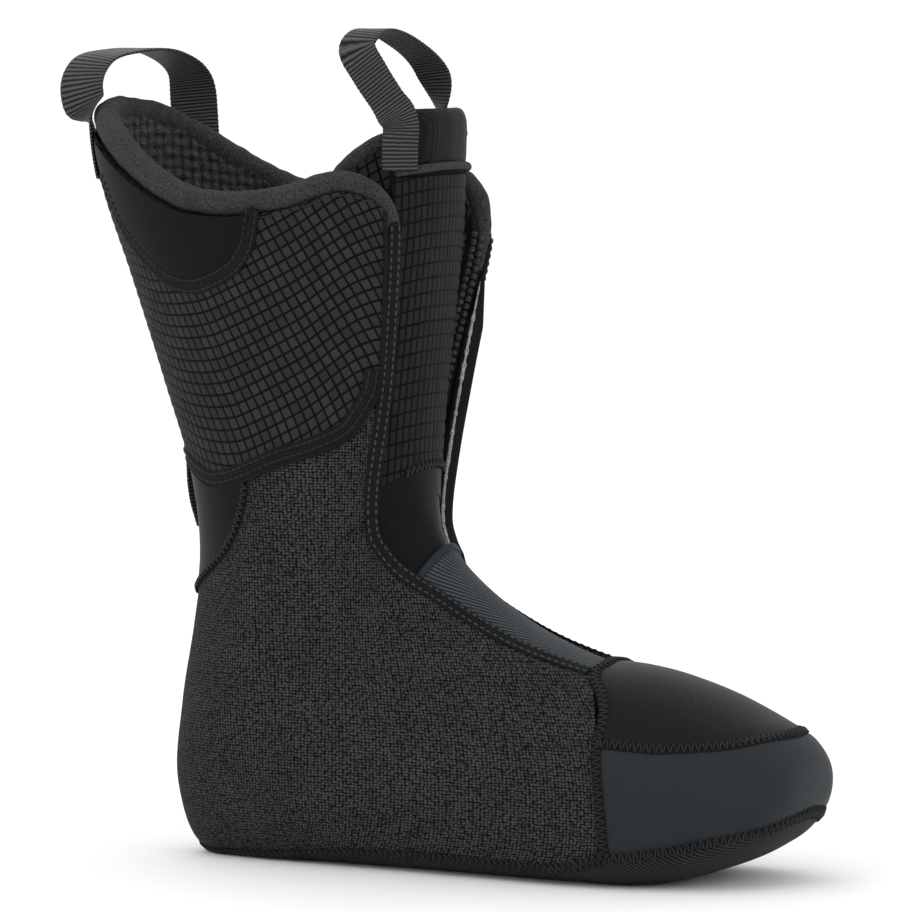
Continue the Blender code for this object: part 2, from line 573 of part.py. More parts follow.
def flap_parts(name, sign):
    """A collar flap, in front of its fold: foam, the two outer fabrics, lining and rolled edge."""
    def front(way):
        return curve_at(way, FRONT_EDGE)

    def fold(way):
        return curve_at(way, FLAP_LINE) - FOLD_GAP * side_gap(way)

    foam = SKIN + LAYER_GAP
    low = float(cuff_bottom(np.array([.2]))[0]) + FLAP_LOW

    def piece(kind, rows, from_way, to_way, top, thick, colour):
        way, side = patch(rows, 5, from_way, to_way, front, fold)
        layer(name + "_flap_" + kind, (way, sign * side), top, thick, colour, flared=True)

    def split(side):
        return curve_at(side, CUFF_LOW)

    piece("foam", 9, fixed(low + FLAP_FOAM_LOW), under_roll, foam, FOAM, GREY)
    piece("fabric", 4, fixed(low), lambda s: split(s) - SEAM_GAP / MM, 0, SKIN, CLOTH)
    piece("panel", 5, split, under_roll, 0, SKIN, CLOTH)
    piece("lining", 7, fixed(FLAP_LINING_LOW), under_roll, foam + FOAM + LAYER_GAP, LINING, GREY)
    roll_front = ROLL_FRONT + ROLL_RADIUS / MM / HALF_GIRTH
    side = np.linspace(float(fold(ROLL_FOLD_WAY)) - .008, roll_front, 11)
    way = rim_at(side)
    path = on_form(way, sign * side, ROLL_RADIUS - flare(way, sign * side))
    tube(name + "_flap_roll", path, ROLL_RADIUS, GREY)


def tongue_parts():
    """The tongue: foam, ribbed front, smooth lower panel, top cover, binding and lining."""
    def edge(way):
        narrow = curve_at(way, FRONT_EDGE) - 2.2 * side_gap(way)
        wide = .31 - .13 * np.clip((way - TONGUE_EARS) / (TONGUE_TOP - TONGUE_EARS), 0, 1) ** 2
        return np.where(way > TONGUE_EARS - 0.01, wide, np.minimum(narrow, .165))

    low = tongue_low()
    foam = SKIN + LAYER_GAP

    def piece(name, rows, top, thick, colour, columns=6):
        way, side = patch(len(rows) - 1, columns, fixed(rows[0]), fixed(rows[-1]), lambda w: -edge(w), edge,
                          lean=(np.array(rows, float) - rows[0]) / (rows[-1] - rows[0]))
        layer(name, (way, side), top, thick, colour, face=tongue_face)

    body = list(np.linspace(low, TONGUE_EARS - 5, 9))
    head = [TONGUE_EARS, 478, 486, TONGUE_TOP]
    piece("tongue_foam", body + head, foam, TONGUE_FOAM, GREY)
    piece("tongue_lower_panel", list(np.linspace(low, TONGUE_RIBS_LOW - 1, 3)), 0, SKIN, BLACK)
    piece("tongue_rib_panel", list(np.linspace(TONGUE_RIBS_LOW, TONGUE_RIBS_HIGH, 8)), 0, SKIN, CLOTH)
    piece("tongue_cover", [TONGUE_EARS, 478, 486, TONGUE_TOP], 0, SKIN, BLACK)
    piece("tongue_lining", body[3:] + head, foam + TONGUE_FOAM + LAYER_GAP, LINING, GREY)
    side = np.linspace(-.15, .15, 9)
    way = (TONGUE_RIBS_HIGH + TONGUE_EARS) / 2
    path = on_form(np.full(9, way), side, tongue_face(np.full(9, way)) + SKIN - BINDING_RADIUS)
    tube("tongue_binding", path, BINDING_RADIUS, GREY)


def loops():
    """The two webbing pull loops: one over the back of the collar, sewn to its outer face on both sides,
    and one over the top of the tongue, sewn to its front."""
    clear = OVERLAY + LAYER_GAP + STRAP_THICK / 2 + STRAP_CLEAR
    near = strap_foot((444, 456, 468, 480), -.80, fixed(-clear))
    far = strap_foot((492, 480, 468, 456), .80, fixed(-clear))
    strap_loop("rear_pull_loop", near, far, REAR_ARCH, REAR_LOOP_RISE, REAR_STRAP_WIDTH, 30)

    def on_tongue(way):
        return tongue_face(way) - STRAP_THICK / 2 - STRAP_CLEAR
    near = strap_foot((473, 481, 489), -.20, on_tongue)
    far = strap_foot((489, 481, 473), .14, on_tongue)
    strap_loop("tongue_pull_loop", near, far, TONGUE_ARCH, TONGUE_LOOP_RISE, TONGUE_STRAP_WIDTH, 26)


def strap_foot(ways, side, depth):
    """Points where an end of a strap lies flat on the boot, and the way its width lies there."""
    way, side = np.array(ways, float), np.full(len(ways), side)
    return on_form(way, side, depth(way)), plain_form(way, side + .01) - plain_form(way, side - .01)


def strap_loop(name, near, far, arch, rise, width, count):
    """A loop from one foot to the other, whose width turns to lie front to back over its top."""
    (start, start_across), (end, end_across) = near, far
    span = end[0] - start[-1]
    top = [start[-1] + span * share + np.array((back, 0, up * rise)) for share, back, up in arch]
    path = smooth_path([*start, *top, *end], count)
    top_across = np.tile((1.0, 0, 0), (len(arch), 1))
    all_across = np.concatenate([start_across, top_across, -end_across])
    all_across /= np.linalg.norm(all_across, axis=1, keepdims=True)
    if all_across[0, 0] < 0:
        all_across[:len(start)] *= -1
    if all_across[-1, 0] < 0:
        all_across[-len(end):] *= -1
    knots = np.array([*start, *top, *end])
    run = np.concatenate([[0], np.cumsum(np.linalg.norm(np.diff(knots, axis=0), axis=1))])
    even = np.linspace(0, run[-1], count)
    across = np.stack([np.interp(even, run, all_across[:, k]) for k in range(3)], 1)
    along = np.gradient(path, axis=0)
    along /= np.linalg.norm(along, axis=1, keepdims=True)
    across -= (across * along).sum(1, keepdims=True) * along
    strap(name, path, across, width, GREY)


def tongue_low():
    """The way at the bottom edge of the tongue, where it folds forwards."""
    return float(cuff_bottom(np.array([.12]))[0]) + 6


def tongue_face(way):
    """The depth of the tongue's front face."""
    return TONGUE_SETBACK + TONGUE_LEAN * np.clip((way - 370) / 122, 0, 1) ** 1.4



for old in list(bpy.data.objects):
    bpy.data.objects.remove(old)
PARTS = bpy.data.collections.new("inner_boot")
CUTTERS = bpy.data.collections.new("guides")
for group in (PARTS, CUTTERS):
    bpy.context.scene.collection.children.link(group)
CUTTERS.hide_render = True

sole_parts()
for side_name, side_sign in (("lateral", -1), ("medial", 1)):
    foot_side(side_name, side_sign, CLOTH)
    flap_parts(side_name, side_sign)
toe_parts()
instep_parts()
heel_parts()
cuff_parts()
tongue_parts()
loops()
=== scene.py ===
import math

import bpy
import numpy as np
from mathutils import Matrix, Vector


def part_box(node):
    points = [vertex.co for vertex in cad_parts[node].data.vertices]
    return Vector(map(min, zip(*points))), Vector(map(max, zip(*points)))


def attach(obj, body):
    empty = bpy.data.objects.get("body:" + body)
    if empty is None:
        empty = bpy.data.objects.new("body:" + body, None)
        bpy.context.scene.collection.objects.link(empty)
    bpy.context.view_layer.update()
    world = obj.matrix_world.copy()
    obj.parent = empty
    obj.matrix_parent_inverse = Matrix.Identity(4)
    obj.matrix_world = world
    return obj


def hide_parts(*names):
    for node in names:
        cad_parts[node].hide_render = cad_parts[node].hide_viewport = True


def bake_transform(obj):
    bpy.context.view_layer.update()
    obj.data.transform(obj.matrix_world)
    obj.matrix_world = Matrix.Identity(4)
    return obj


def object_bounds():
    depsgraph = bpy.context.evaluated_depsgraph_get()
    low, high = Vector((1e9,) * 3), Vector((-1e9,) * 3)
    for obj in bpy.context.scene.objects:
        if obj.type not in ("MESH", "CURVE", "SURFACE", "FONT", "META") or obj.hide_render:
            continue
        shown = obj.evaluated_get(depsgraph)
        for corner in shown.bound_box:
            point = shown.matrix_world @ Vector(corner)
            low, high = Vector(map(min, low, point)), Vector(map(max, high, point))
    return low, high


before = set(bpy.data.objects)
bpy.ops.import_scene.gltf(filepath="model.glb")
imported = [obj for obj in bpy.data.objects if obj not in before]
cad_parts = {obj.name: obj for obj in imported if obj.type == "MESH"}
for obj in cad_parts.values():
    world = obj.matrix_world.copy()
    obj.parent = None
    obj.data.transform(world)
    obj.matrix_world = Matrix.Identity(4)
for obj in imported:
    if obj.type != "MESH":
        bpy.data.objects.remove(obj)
cad_box = [list(corner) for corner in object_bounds()]
bpy.ops.object.select_all(action="DESELECT")


# --- Quarter: the knitted outer fabric of the foot and lower leg ---------------------------------------
# Two mirror-image panels of coarse pebbled knit, cut to shape and sewn round the foam from the toe seam
# up to the cuff. They stretch over the ankle.

# The boot's form as cross-sections, in reference millimetres: top or front point (x, z), sole or back
# point (x, z), half width, where it is widest, roundness of the front and the back, sideways shift.
SECTIONS = np.array([
    (210, 41, 210, 41, 0, .50, 2.0, 2.0, 9), (208, 52, 208, 29, 22, .50, 2.0, 2.2, 9),
    (202, 60, 202, 20, 33, .52, 2.1, 2.6, 8), (190, 66, 190, 12, 42, .55, 2.1, 3.0, 7),
    (172, 75, 172, 4, 48, .60, 2.1, 3.4, 5), (148, 83, 148, -1.5, 51, .62, 2.1, 3.6, 3),
    (122, 88, 120, -1.5, 50, .64, 2.1, 3.6, 1), (98, 97, 84, -1.5, 46, .62, 2.0, 3.4, 0),
    (78, 108, 44, -1.5, 42, .60, 2.0, 3.2, 0), (62, 120, 2, -1.5, 40, .58, 2.0, 2.9, 0),
    (52, 131, -38, -1.5, 38, .56, 2.0, 2.7, 0), (47, 140, -64, 3, 37, .54, 2.1, 2.4, 0),
    (45, 148, -74, 26, 38, .52, 2.2, 2.2, 0), (44, 158, -73, 60, 38.5, .50, 2.3, 2.0, 0),
    (44, 172, -67, 94, 39.5, .48, 2.4, 2.0, 0), (45, 190, -63, 124, 41, .48, 2.4, 2.0, 0),
    (47, 212, -66, 158, 44, .48, 2.4, 2.1, 0), (50, 238, -78, 198, 50, .48, 2.4, 2.1, 0),
    (54, 266, -92, 242, 56, .48, 2.4, 2.2, 0), (57, 292, -107, 284, 59, .48, 2.4, 2.2, 0),
    (60, 316, -112, 318, 60, .48, 2.4, 2.2, 0)])
REFERENCE_REACH = 283.8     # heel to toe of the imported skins, in reference millimetres
MM = (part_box("toe_band")[1].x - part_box("quarter_fabric_medial")[0].x) / REFERENCE_REACH
STEPS = 0.5 * (np.linalg.norm(np.diff(SECTIONS[:, 0:2], axis=0), axis=1)
               + np.linalg.norm(np.diff(SECTIONS[:, 2:4], axis=0), axis=1))
WAYS = np.concatenate([[0], np.cumsum(STEPS)])
SIDES = 200                 # table columns on each half of the form


def hermite(x, xs, ys, slope):
    """A cubic through ys at xs with the given slopes."""
    x = np.clip(x, xs[0], xs[-1])
    i = np.clip(np.searchsorted(xs, x) - 1, 0, len(xs) - 2)
    h = xs[i + 1] - xs[i]
    t = (x - xs[i]) / h
    if ys.ndim > 1:
        h, t = h[..., None], t[..., None]
    return (ys[i] * (2 * t**3 - 3 * t**2 + 1) + slope[i] * h * (t**3 - 2 * t**2 + t)
            + ys[i + 1] * (3 * t**2 - 2 * t**3) + slope[i + 1] * h * (t**3 - t**2))


def curve_at(x, points):
    """A smooth curve without overshoot through (x, y) points."""
    xs, ys = np.array(points, float).T
    step = np.diff(ys) / np.diff(xs)
    slope = np.zeros(len(xs))
    inner = step[:-1] * step[1:] > 0
    slope[1:-1][inner] = 2 * step[:-1][inner] * step[1:][inner] / (step[:-1] + step[1:])[inner]
    slope[0], slope[-1] = step[0], step[-1]
    return hermite(np.asarray(x, float), xs, ys, slope)


def form_table():
    """Points of the form at every reference millimetre of way and at even shares of the half girth."""
    ways = np.arange(0, int(WAYS[-1]) + 1.0)
    rows = hermite(ways, WAYS, SECTIONS, np.gradient(SECTIONS, WAYS, axis=0))
    table = np.zeros((len(ways), 2 * SIDES, 3))
    turn = np.linspace(0, math.pi / 2, 60)
    for k, (ax, az, bx, bz, half, wide, front, back, shift) in enumerate(rows):
        along = np.concatenate([wide * (1 - np.cos(turn) ** (2 / front)),
                                wide + (1 - wide) * np.cos(turn[::-1][1:]) ** (2 / back)])
        across = half * np.concatenate([np.sin(turn) ** (2 / front), np.sin(turn[::-1][1:]) ** (2 / back)])
        run = np.concatenate([[0], np.cumsum(np.hypot(np.diff(along) * math.hypot(bx - ax, bz - az),
                                                      np.diff(across)))])
        place = np.linspace(0, run[-1], SIDES + 1)
        s, y = np.interp(place, run, along), np.interp(place, run, across)
        right = np.stack([ax + (bx - ax) * s, y + shift, np.maximum(az + (bz - az) * s, 0)], 1)
        left = right * (1, 0, 1) + np.outer(shift - y, (0, 1, 0))
        table[k] = np.concatenate([right, left[1:-1][::-1]])
    return table * MM


def unit(vectors):
    return vectors / np.linalg.norm(vectors, axis=-1, keepdims=True)


FORM = form_table()
EVEN = sum(share * np.roll(FORM, move, 1) for move, share in ((2, 1), (1, 4), (0, 6), (-1, 4), (-2, 1)))
NORMALS = np.cross(np.roll(EVEN, -1, 1) - np.roll(EVEN, 1, 1), np.gradient(EVEN, axis=0))
NORMALS /= np.linalg.norm(NORMALS, axis=2, keepdims=True) + 1e-12
NORMALS[:2] = NORMALS[2]


def looked_up(table, way, side):
    """Catmull-Rom lookup in a table whose columns run once round the form."""
    way = np.clip(np.asarray(way, float), 0, len(table) - 1.001)
    column = np.mod(np.asarray(side, float), 2) * SIDES
    i, j = np.floor(way).astype(int), np.floor(column).astype(int)

    def weights(t):
        return (-.5 * t + t**2 - .5 * t**3, 1 - 2.5 * t**2 + 1.5 * t**3,
                .5 * t + 2 * t**2 - 1.5 * t**3, -.5 * t**2 + .5 * t**3)

    found = 0
    for a, wa in enumerate(weights(way - i)):
        for b, wb in enumerate(weights(column - j)):
            row = np.clip(i + a - 1, 0, len(table) - 1)
            found = found + (wa * wb)[..., None] * table[row, (j + b - 1) % (2 * SIDES)]
    return found


def on_form(way, side, depth=0.0):
    """Points this deep inside the form, in metres; a negative depth stands proud."""
    way, side = np.broadcast_arrays(np.asarray(way, float), np.asarray(side, float))
    out = unit(looked_up(NORMALS, way, side))
    return looked_up(FORM, way, side) - out * (np.zeros(way.shape) + depth)[..., None]


def measured(points):
    """Distances along the rows and columns of a grid of points, in millimetres, from its middle."""
    u = np.cumsum(np.linalg.norm(np.diff(points, axis=1, prepend=points[:, :1]), axis=2), 1)
    v = np.cumsum(np.linalg.norm(np.diff(points, axis=0, prepend=points[:1]), axis=2), 0)
    rows, columns = points.shape[:2]
    return (u - u[:, columns // 2:columns // 2 + 1]) / MM, (v - v[rows // 2:rows // 2 + 1]) / MM


def piece_from_grid(name, points, uv=None, wrap=False):
    """A grid primitive laid on rows of points, with a UV map in real metres along its rows and columns."""
    rows, columns = points.shape[:2]
    bpy.ops.object.select_all(action="DESELECT")
    bpy.ops.mesh.primitive_grid_add(x_subdivisions=columns - 1, y_subdivisions=rows - 1, size=1)
    obj = bpy.context.object
    obj.name = obj.data.name = name
    mesh = obj.data
    mesh.vertices.foreach_set("co", points.reshape(-1).astype(np.float32))
    if uv is None:
        uv = np.stack(measured(points), 2) * MM
    index = np.zeros(len(mesh.loops), int)
    mesh.loops.foreach_get("vertex_index", index)
    mesh.uv_layers[0].data.foreach_set("uv", uv.reshape(-1, 2)[index].reshape(-1).astype(np.float32))
    if wrap:
        bpy.ops.object.mode_set(mode="EDIT")
        bpy.ops.mesh.select_all(action="SELECT")
        bpy.ops.mesh.remove_doubles(threshold=1e-6)
        bpy.ops.mesh.normals_make_consistent(inside=False)
        bpy.ops.object.mode_set(mode="OBJECT")
    mesh.shade_smooth()
    mesh.update()
    return obj


def applied(obj, kind, **settings):
    """A modifier added to the piece and applied."""
    modifier = obj.modifiers.new(kind.lower(), kind)
    for key, value in settings.items():
        setattr(modifier, key, value)
    bpy.ops.object.select_all(action="DESELECT")
    obj.select_set(True)
    bpy.context.view_layer.objects.active = obj
    bpy.ops.object.modifier_apply(modifier=modifier.name)
    return obj


def finished(piece, material, slot, body, *replaced, thick=0):
    """Thickens a piece inwards by so many millimetres, and gives it its material and motion; slot is not
    used.

    It rides on the named body; for the ankle, or for -1 or 1, its transform is only baked, and nothing bends."""
    if thick:
        applied(piece, "SOLIDIFY", thickness=thick * MM, offset=-1)
    piece.data.materials.append(material)
    if body == "ankle":
        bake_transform(piece)
    elif body in (-1, 1):
        fold_over(piece, body)
    else:
        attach(piece, body)
    if replaced:
        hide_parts(*replaced)
    return piece


def patch(rows, columns, low_way, high_way, low_side, high_side, sign=1):
    """A grid of (way, side) between two edges that follow side and two that follow way.

    It is as drawn for the inner side of the boot (1), or its mirror image on the outer side (-1)."""
    a = np.linspace(0, 1, rows + 1)[:, None]
    b = np.linspace(0, 1, columns + 1)[None, :]
    way = np.zeros((rows + 1, columns + 1))
    side = np.zeros_like(way) + 0.5
    for _ in range(8):
        way = low_way(side) + (high_way(side) - low_way(side)) * a
        side = low_side(way) + (high_side(way) - low_side(way)) * b
    return (way, side) if sign > 0 else (way[:, ::-1], -side[:, ::-1])


def steady(value):
    """An edge that stays at one value."""
    return lambda other: np.full(np.shape(other), float(value))


def add(material, kind, inputs=(), **settings):
    """Adds a node to a material, with its settings, and its inputs as values or as links."""
    made = material.node_tree.nodes.new(kind)
    for key, value in settings.items():
        setattr(made, key, value)
    for key, value in dict(inputs).items():
        if isinstance(value, bpy.types.NodeSocket):
            material.node_tree.links.new(value, made.inputs[key])
        else:
            made.inputs[key].default_value = value
    return made


def shade(code):
    """An sRGB hex colour as the linear RGBA that Blender's nodes take."""
    parts = [int(code[k:k + 2], 16) / 255 for k in (1, 3, 5)]
    return [p / 12.92 if p <= .04045 else ((p + .055) / 1.055) ** 2.4 for p in parts] + [1.0]


def cloth_finish(name, dark, light, roughness, sheen, pattern, depth, coordinates="UV", patchy=.25):
    """A fabric: its pattern, drawn in millimetres, mixes two shades and lifts the surface by a depth."""
    material = bpy.data.materials.new(name)
    material.use_nodes = True
    shader = material.node_tree.nodes["Principled BSDF"]
    place = add(material, "ShaderNodeTexCoord").outputs
    fine = add(material, "ShaderNodeMapping", {"Vector": place[coordinates], "Scale": (1000, 1000, 1000)})
    height = pattern(material, fine.outputs[0])
    cloud = add(material, "ShaderNodeTexNoise", {"Vector": place["Object"], "Scale": 60.0, "Detail": 4.0})
    level = add(material, "ShaderNodeMath", {0: cloud.outputs["Fac"], 1: 2 * patchy, 2: 1 - patchy},
                operation="MULTIPLY_ADD")
    amount = add(material, "ShaderNodeMath", {0: height, 1: level.outputs[0]}, operation="MULTIPLY",
                 use_clamp=True)
    mix = add(material, "ShaderNodeMix", {0: amount.outputs[0], 6: shade(dark), 7: shade(light)},
              data_type="RGBA")
    bump = add(material, "ShaderNodeBump", {"Height": height, "Distance": depth * 0.001, "Strength": 1.0})
    material.node_tree.links.new(mix.outputs[2], shader.inputs["Base Color"])
    material.node_tree.links.new(bump.outputs["Normal"], shader.inputs["Normal"])
    shader.inputs["Roughness"].default_value = roughness
    shader.inputs["Specular IOR Level"].default_value = 0.09
    shader.inputs["Sheen Weight"].default_value = sheen
    shader.inputs["Sheen Roughness"].default_value = 0.5
    return material


def cells(width, height, joint, offset, turn=0.0, soft=1.0):
    """A woven or knitted pattern of cells, in millimetres, with darker joints between them."""
    def pattern(material, place):
        leaning = add(material, "ShaderNodeMapping", {"Vector": place,
                                                      "Rotation": (0, 0, math.radians(turn))})
        brick = add(material, "ShaderNodeTexBrick", {
            "Vector": leaning.outputs[0], "Scale": 1.0, "Mortar Size": joint, "Mortar Smooth": soft,
            "Brick Width": width, "Row Height": height, "Color1": (1, 1, 1, 1), "Color2": (.72, .72, .72, 1),
            "Mortar": (0, 0, 0, 1)}, offset=offset, squash=1.0)
        return brick.outputs["Color"]
    return pattern


def pebbles(wide, tall):
    """Knit loops seen end-on: rounded tips, in millimetres, set unevenly and some paler than others."""
    def pattern(material, place):
        scaled = add(material, "ShaderNodeMapping", {"Vector": place, "Scale": (1 / wide, 1 / tall, 1)})
        loops = add(material, "ShaderNodeTexVoronoi", {"Vector": scaled.outputs[0], "Scale": 1.0,
                                                       "Randomness": .38})
        tip = add(material, "ShaderNodeMapRange", {0: loops.outputs["Distance"], 1: .12, 2: .62,
                                                   3: 1.0, 4: .0})
        tone = add(material, "ShaderNodeMath", {0: loops.outputs["Color"], 1: .35, 2: .72},
                   operation="MULTIPLY_ADD")
        return add(material, "ShaderNodeMath", {0: tip.outputs[0], 1: tone.outputs[0]},
                   operation="MULTIPLY").outputs[0]
    return pattern


# Pebbled polyester knit: matt, with a paler tip on each of its raised loops, about 1.5 mm apart.
KNIT = cloth_finish("pebbled_knit", "#030304", "#4c4e50", .85, .01, pebbles(1.6, 1.2), .5)

SOLE_EDGE = [(11.2, 1), (12.5, .86), (17, .73), (28, .655), (45, .625), (87, .645), (105, .69), (139, .735),
             (171, .775), (208, .845), (233, .905), (244, .95), (249, 1)]
FRONT_EDGE = [(95, .105), (107, .105), (161, .115), (209, .115), (245, .135), (280, .185), (310, .20),
              (359, .185), (433, .175), (500, .175)]
TOE_SEAM = [(0, 107), (.105, 107), (.155, 104), (.35, 93), (.645, 87), (1, 87)]
FLAP_LINE = [(262, .175), (285, .212), (330, .33), (375, .415), (420, .465), (455, .50), (500, .54)]
CUFF_LOW = [(0, 341), (.205, 341), (.30, 338), (.40, 340), (.50, 344), (.635, 347), (.735, 351),
            (.885, 366), (1, 371)]
TOE_WAY, HEEL_WAY = 11.3, 248.9     # where the sole's edge meets the middle, at the toe and at the heel
FLAP_START = 288            # the way at which the flap leaves the quarter
TUCK = 5                    # fabric that runs on under the panel sewn over it
NAMES = (("lateral", -1), ("medial", 1))


def front_edge(way):
    """The side at which the opening's edge lies."""
    return curve_at(way, FRONT_EDGE)


def fold_line(way):
    """The side at which the flap folds."""
    return curve_at(way, FLAP_LINE)


def folded(side):
    """The same place counted from the front, whichever side it is on."""
    return np.abs(np.mod(np.asarray(side, float) + 1, 2) - 1)


def quarter_front(way):
    """The front edge of the quarter: the opening's edge low down, and the flap's fold above."""
    return np.where(way > FLAP_START, fold_line(way), front_edge(way))


def cuff_low(side):
    """The cuff panel's lower edge."""
    return curve_at(folded(side), CUFF_LOW)


def quarter_top(side):
    """The quarter's upper edge, tucked under the cuff panel."""
    return cuff_low(side) + TUCK


def sole_line(way):
    """The lower edge of the quarter, which runs into the middle of the heel at its back."""
    return np.where(way > HEEL_WAY, 1.0, curve_at(way, SOLE_EDGE))


def level_rows(points):
    """A map in metres that keeps the rows of the knit level all round the foot."""
    x, y, z = np.moveaxis(points, -1, 0)
    return np.stack([x - (np.abs(y) - .038) * np.clip(x / .03, -1, 1), z], -1)


for name, sign in NAMES:
    way, side = patch(250, 150, lambda s: curve_at(s, TOE_SEAM) + .3, quarter_top, quarter_front, sole_line,
                      sign)
    points = on_form(way, side)
    quarter = piece_from_grid("quarter_" + name, points, uv=level_rows(points))
    finished(quarter, KNIT, "knit_mesh", "ankle",
             "quarter_fabric_" + name, "quarter_upper_" + name, thick=1.1)


# --- Flap fabric: the lower part of each flap ----------------------------------------------------------
# The same knit runs on over the fold to the edge of the opening, and stands out with the flap's flare
# in front of the fold.

FLAP_FLARE = {-1: 1.0, 1: 9.0}   # how far the flaps stand outwards at their front edge, in millimetres


FLARE_WAYS = 300, 430             # where the flare starts, and where it is full


def eased(value, low, high):
    """From 0 at the low end to 1 at the high end, level at both."""
    t = np.clip((value - low) / (high - low), 0, 1)
    return t * t * (3 - 2 * t)


def flare(way, side):
    """How far a point of a flap stands outwards, in metres: none at the fold, most at the front edge."""
    edge, fold = front_edge(way), fold_line(way)
    near = np.clip((fold - folded(side)) / np.maximum(fold - edge, 0.01), 0, 1)
    most = np.where(np.mod(side + 1, 2) < 1, FLAP_FLARE[-1], FLAP_FLARE[1])
    return MM * most * near**2 * eased(way, *FLARE_WAYS)


def fold_over(piece, sign):
    """Works out the direction across this side's flap fold, and bakes the piece's transform; nothing is
    folded.
    """
    low, high = (on_form(w, sign * fold_line(np.array(float(w)))) for w in (FLAP_START, 440))
    across = unit(np.cross((0, sign, 0.0), high - low))
    across *= np.sign(across[0])
    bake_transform(piece)


for name, sign in NAMES:
    way, side = patch(60, 34, steady(FLAP_START), quarter_top, front_edge, fold_line, sign)
    points = on_form(way, side, -flare(way, side))
    fabric = piece_from_grid(name + "_flap_knit", points, uv=level_rows(points))
    finished(fabric, KNIT, "knit_mesh", sign, name + "_flap_fabric", thick=1.1)


# --- Cuff panel: the grid ripstop round the leg --------------------------------------------------------
# Two halves of quilted ripstop, joined at the back, cover the cuff and both flaps. Every cell of about
# 4 mm is slightly puffed, and the heavy threads between the cells lie in grooves.

RIM = [(.17, 430), (.18, 440), (.205, 450), (.24, 457), (.285, 461), (.40, 455), (.485, 454), (.595, 457),
       (.66, 463), (.73, 472), (.825, 484), (.90, 490), (1.0, 492)]
ROLL = 5.8                  # radius of the rolled collar edge, in millimetres
GRID_TURN = -14             # how far the grid leans, in degrees
GRID_WIDE, GRID_TALL = 4.3, 4.9     # the grid's cells, in millimetres
GRID_SETBACK = .036         # from the opening's edge to the panel, which leaves room for the front tape
CORNER = 11                 # radius of the panel's lower front corner
HALF_GIRTH = 175            # millimetres from the middle of the front to the middle of the back


def grid_front(way):
    """The panel's front edge, rounded into its lower edge."""
    over = np.clip(1 - (way - CUFF_LOW[0][1]) / CORNER, 0, 1)
    return front_edge(way) + GRID_SETBACK + CORNER / HALF_GIRTH * (1 - np.sqrt(1 - over**2))


def round_back(node, sign):
    """A plain solid that goes all round the back is replaced by the outer side's piece."""
    return [node] if sign < 0 else []


def rim_at(side):
    """The way at which the boot's top edge lies."""
    return curve_at(folded(side), RIM)


def under_roll(side):
    """The upper edge of what ends inside the collar roll."""
    return rim_at(side) - 5.0


def grid_relief(u, v):
    """Height of a puffed cell, 0 in its grooves and 1 at its middle, at a place in millimetres."""
    c, s = math.cos(math.radians(GRID_TURN)), math.sin(math.radians(GRID_TURN))
    a, b = (u * c - v * s) / GRID_WIDE, (u * s + v * c) / GRID_TALL
    return np.abs(np.sin(math.pi * a) * np.sin(math.pi * b)) ** .35


def ripstop(name, wide, tall, turn, dark, light, sheen=.1):
    """Ripstop nylon: dull cells of fine plain weave between dark grooves."""
    def pattern(material, place):
        grooves = cells(wide, tall, .75, 0.0, turn, soft=.7)(material, place)
        weave = cells(.9, .9, .35, .5, turn)(material, place)
        fine = add(material, "ShaderNodeMath", {0: weave, 1: .35, 2: .65}, operation="MULTIPLY_ADD")
        return add(material, "ShaderNodeMath", {0: grooves, 1: fine.outputs[0]},
                   operation="MULTIPLY").outputs[0]
    return cloth_finish(name, dark, light, .68, sheen, pattern, .10)


# Ripstop nylon: small, dull, puffed squares between black grooves.
CUFF_CLOTH = ripstop("grid_ripstop", GRID_WIDE, GRID_TALL, GRID_TURN, "#010102", "#323436", sheen=.01)

for name, sign in NAMES:
    way, side = patch(150, 190, cuff_low, under_roll, grid_front, steady(1), sign)
    flat = on_form(way, side, -flare(way, side) - .5 * MM)
    u, v = measured(flat)
    lift = .55 * MM * grid_relief(u, v)
    panel = piece_from_grid("cuff_grid_" + name, on_form(way, side, -flare(way, side) - .35 * MM - lift),
                            uv=np.stack([u, v], 2) * 0.001)
    finished(panel, CUFF_CLOTH, "ripstop", sign,
             *round_back("cuff_panel", sign), name + "_flap_panel", thick=.9)


# --- Edge tape: the taped edge of the cuff panel -------------------------------------------------------
# A plain woven tape folded round the panel's lower and front edges and held by two rows of stitches.
# A thin piping stands out below it.

def run_along(points):
    """The distance of each point from the first, along the line."""
    return np.concatenate([[0], np.cumsum(np.linalg.norm(np.diff(points, axis=0), axis=1))])


def read_at(places, run, *lines):
    """Each of the lines of points, read off at these distances along the run."""
    return [np.stack([np.interp(places, run, values) for values in line.T], 1) for line in lines]


def softened(points, passes):
    """Evens out a line of points in place, and keeps its ends."""
    for _ in range(passes):
        points[1:-1] = (points[:-2] + 2 * points[1:-1] + points[2:]) / 4


def route(way, side, depth, spacing=1.0, smooth=0):
    """Evenly spaced points along a line on the form, with the directions along, across and out of it."""
    points, out = on_form(way, side, depth), looked_up(NORMALS, way, side)
    for passes in (smooth, 0):
        run = run_along(points)
        even = np.linspace(0, run[-1], max(int(run[-1] / (spacing * MM)), 3))
        points, out = read_at(even, run, points, out)
        softened(points, passes)
    along = unit(np.gradient(points, axis=0))
    out = unit(out - (out * along).sum(1, keepdims=True) * along)
    return points, along, np.cross(out, along), out


SWEPT_POINTS = 25           # points round a swept band's section


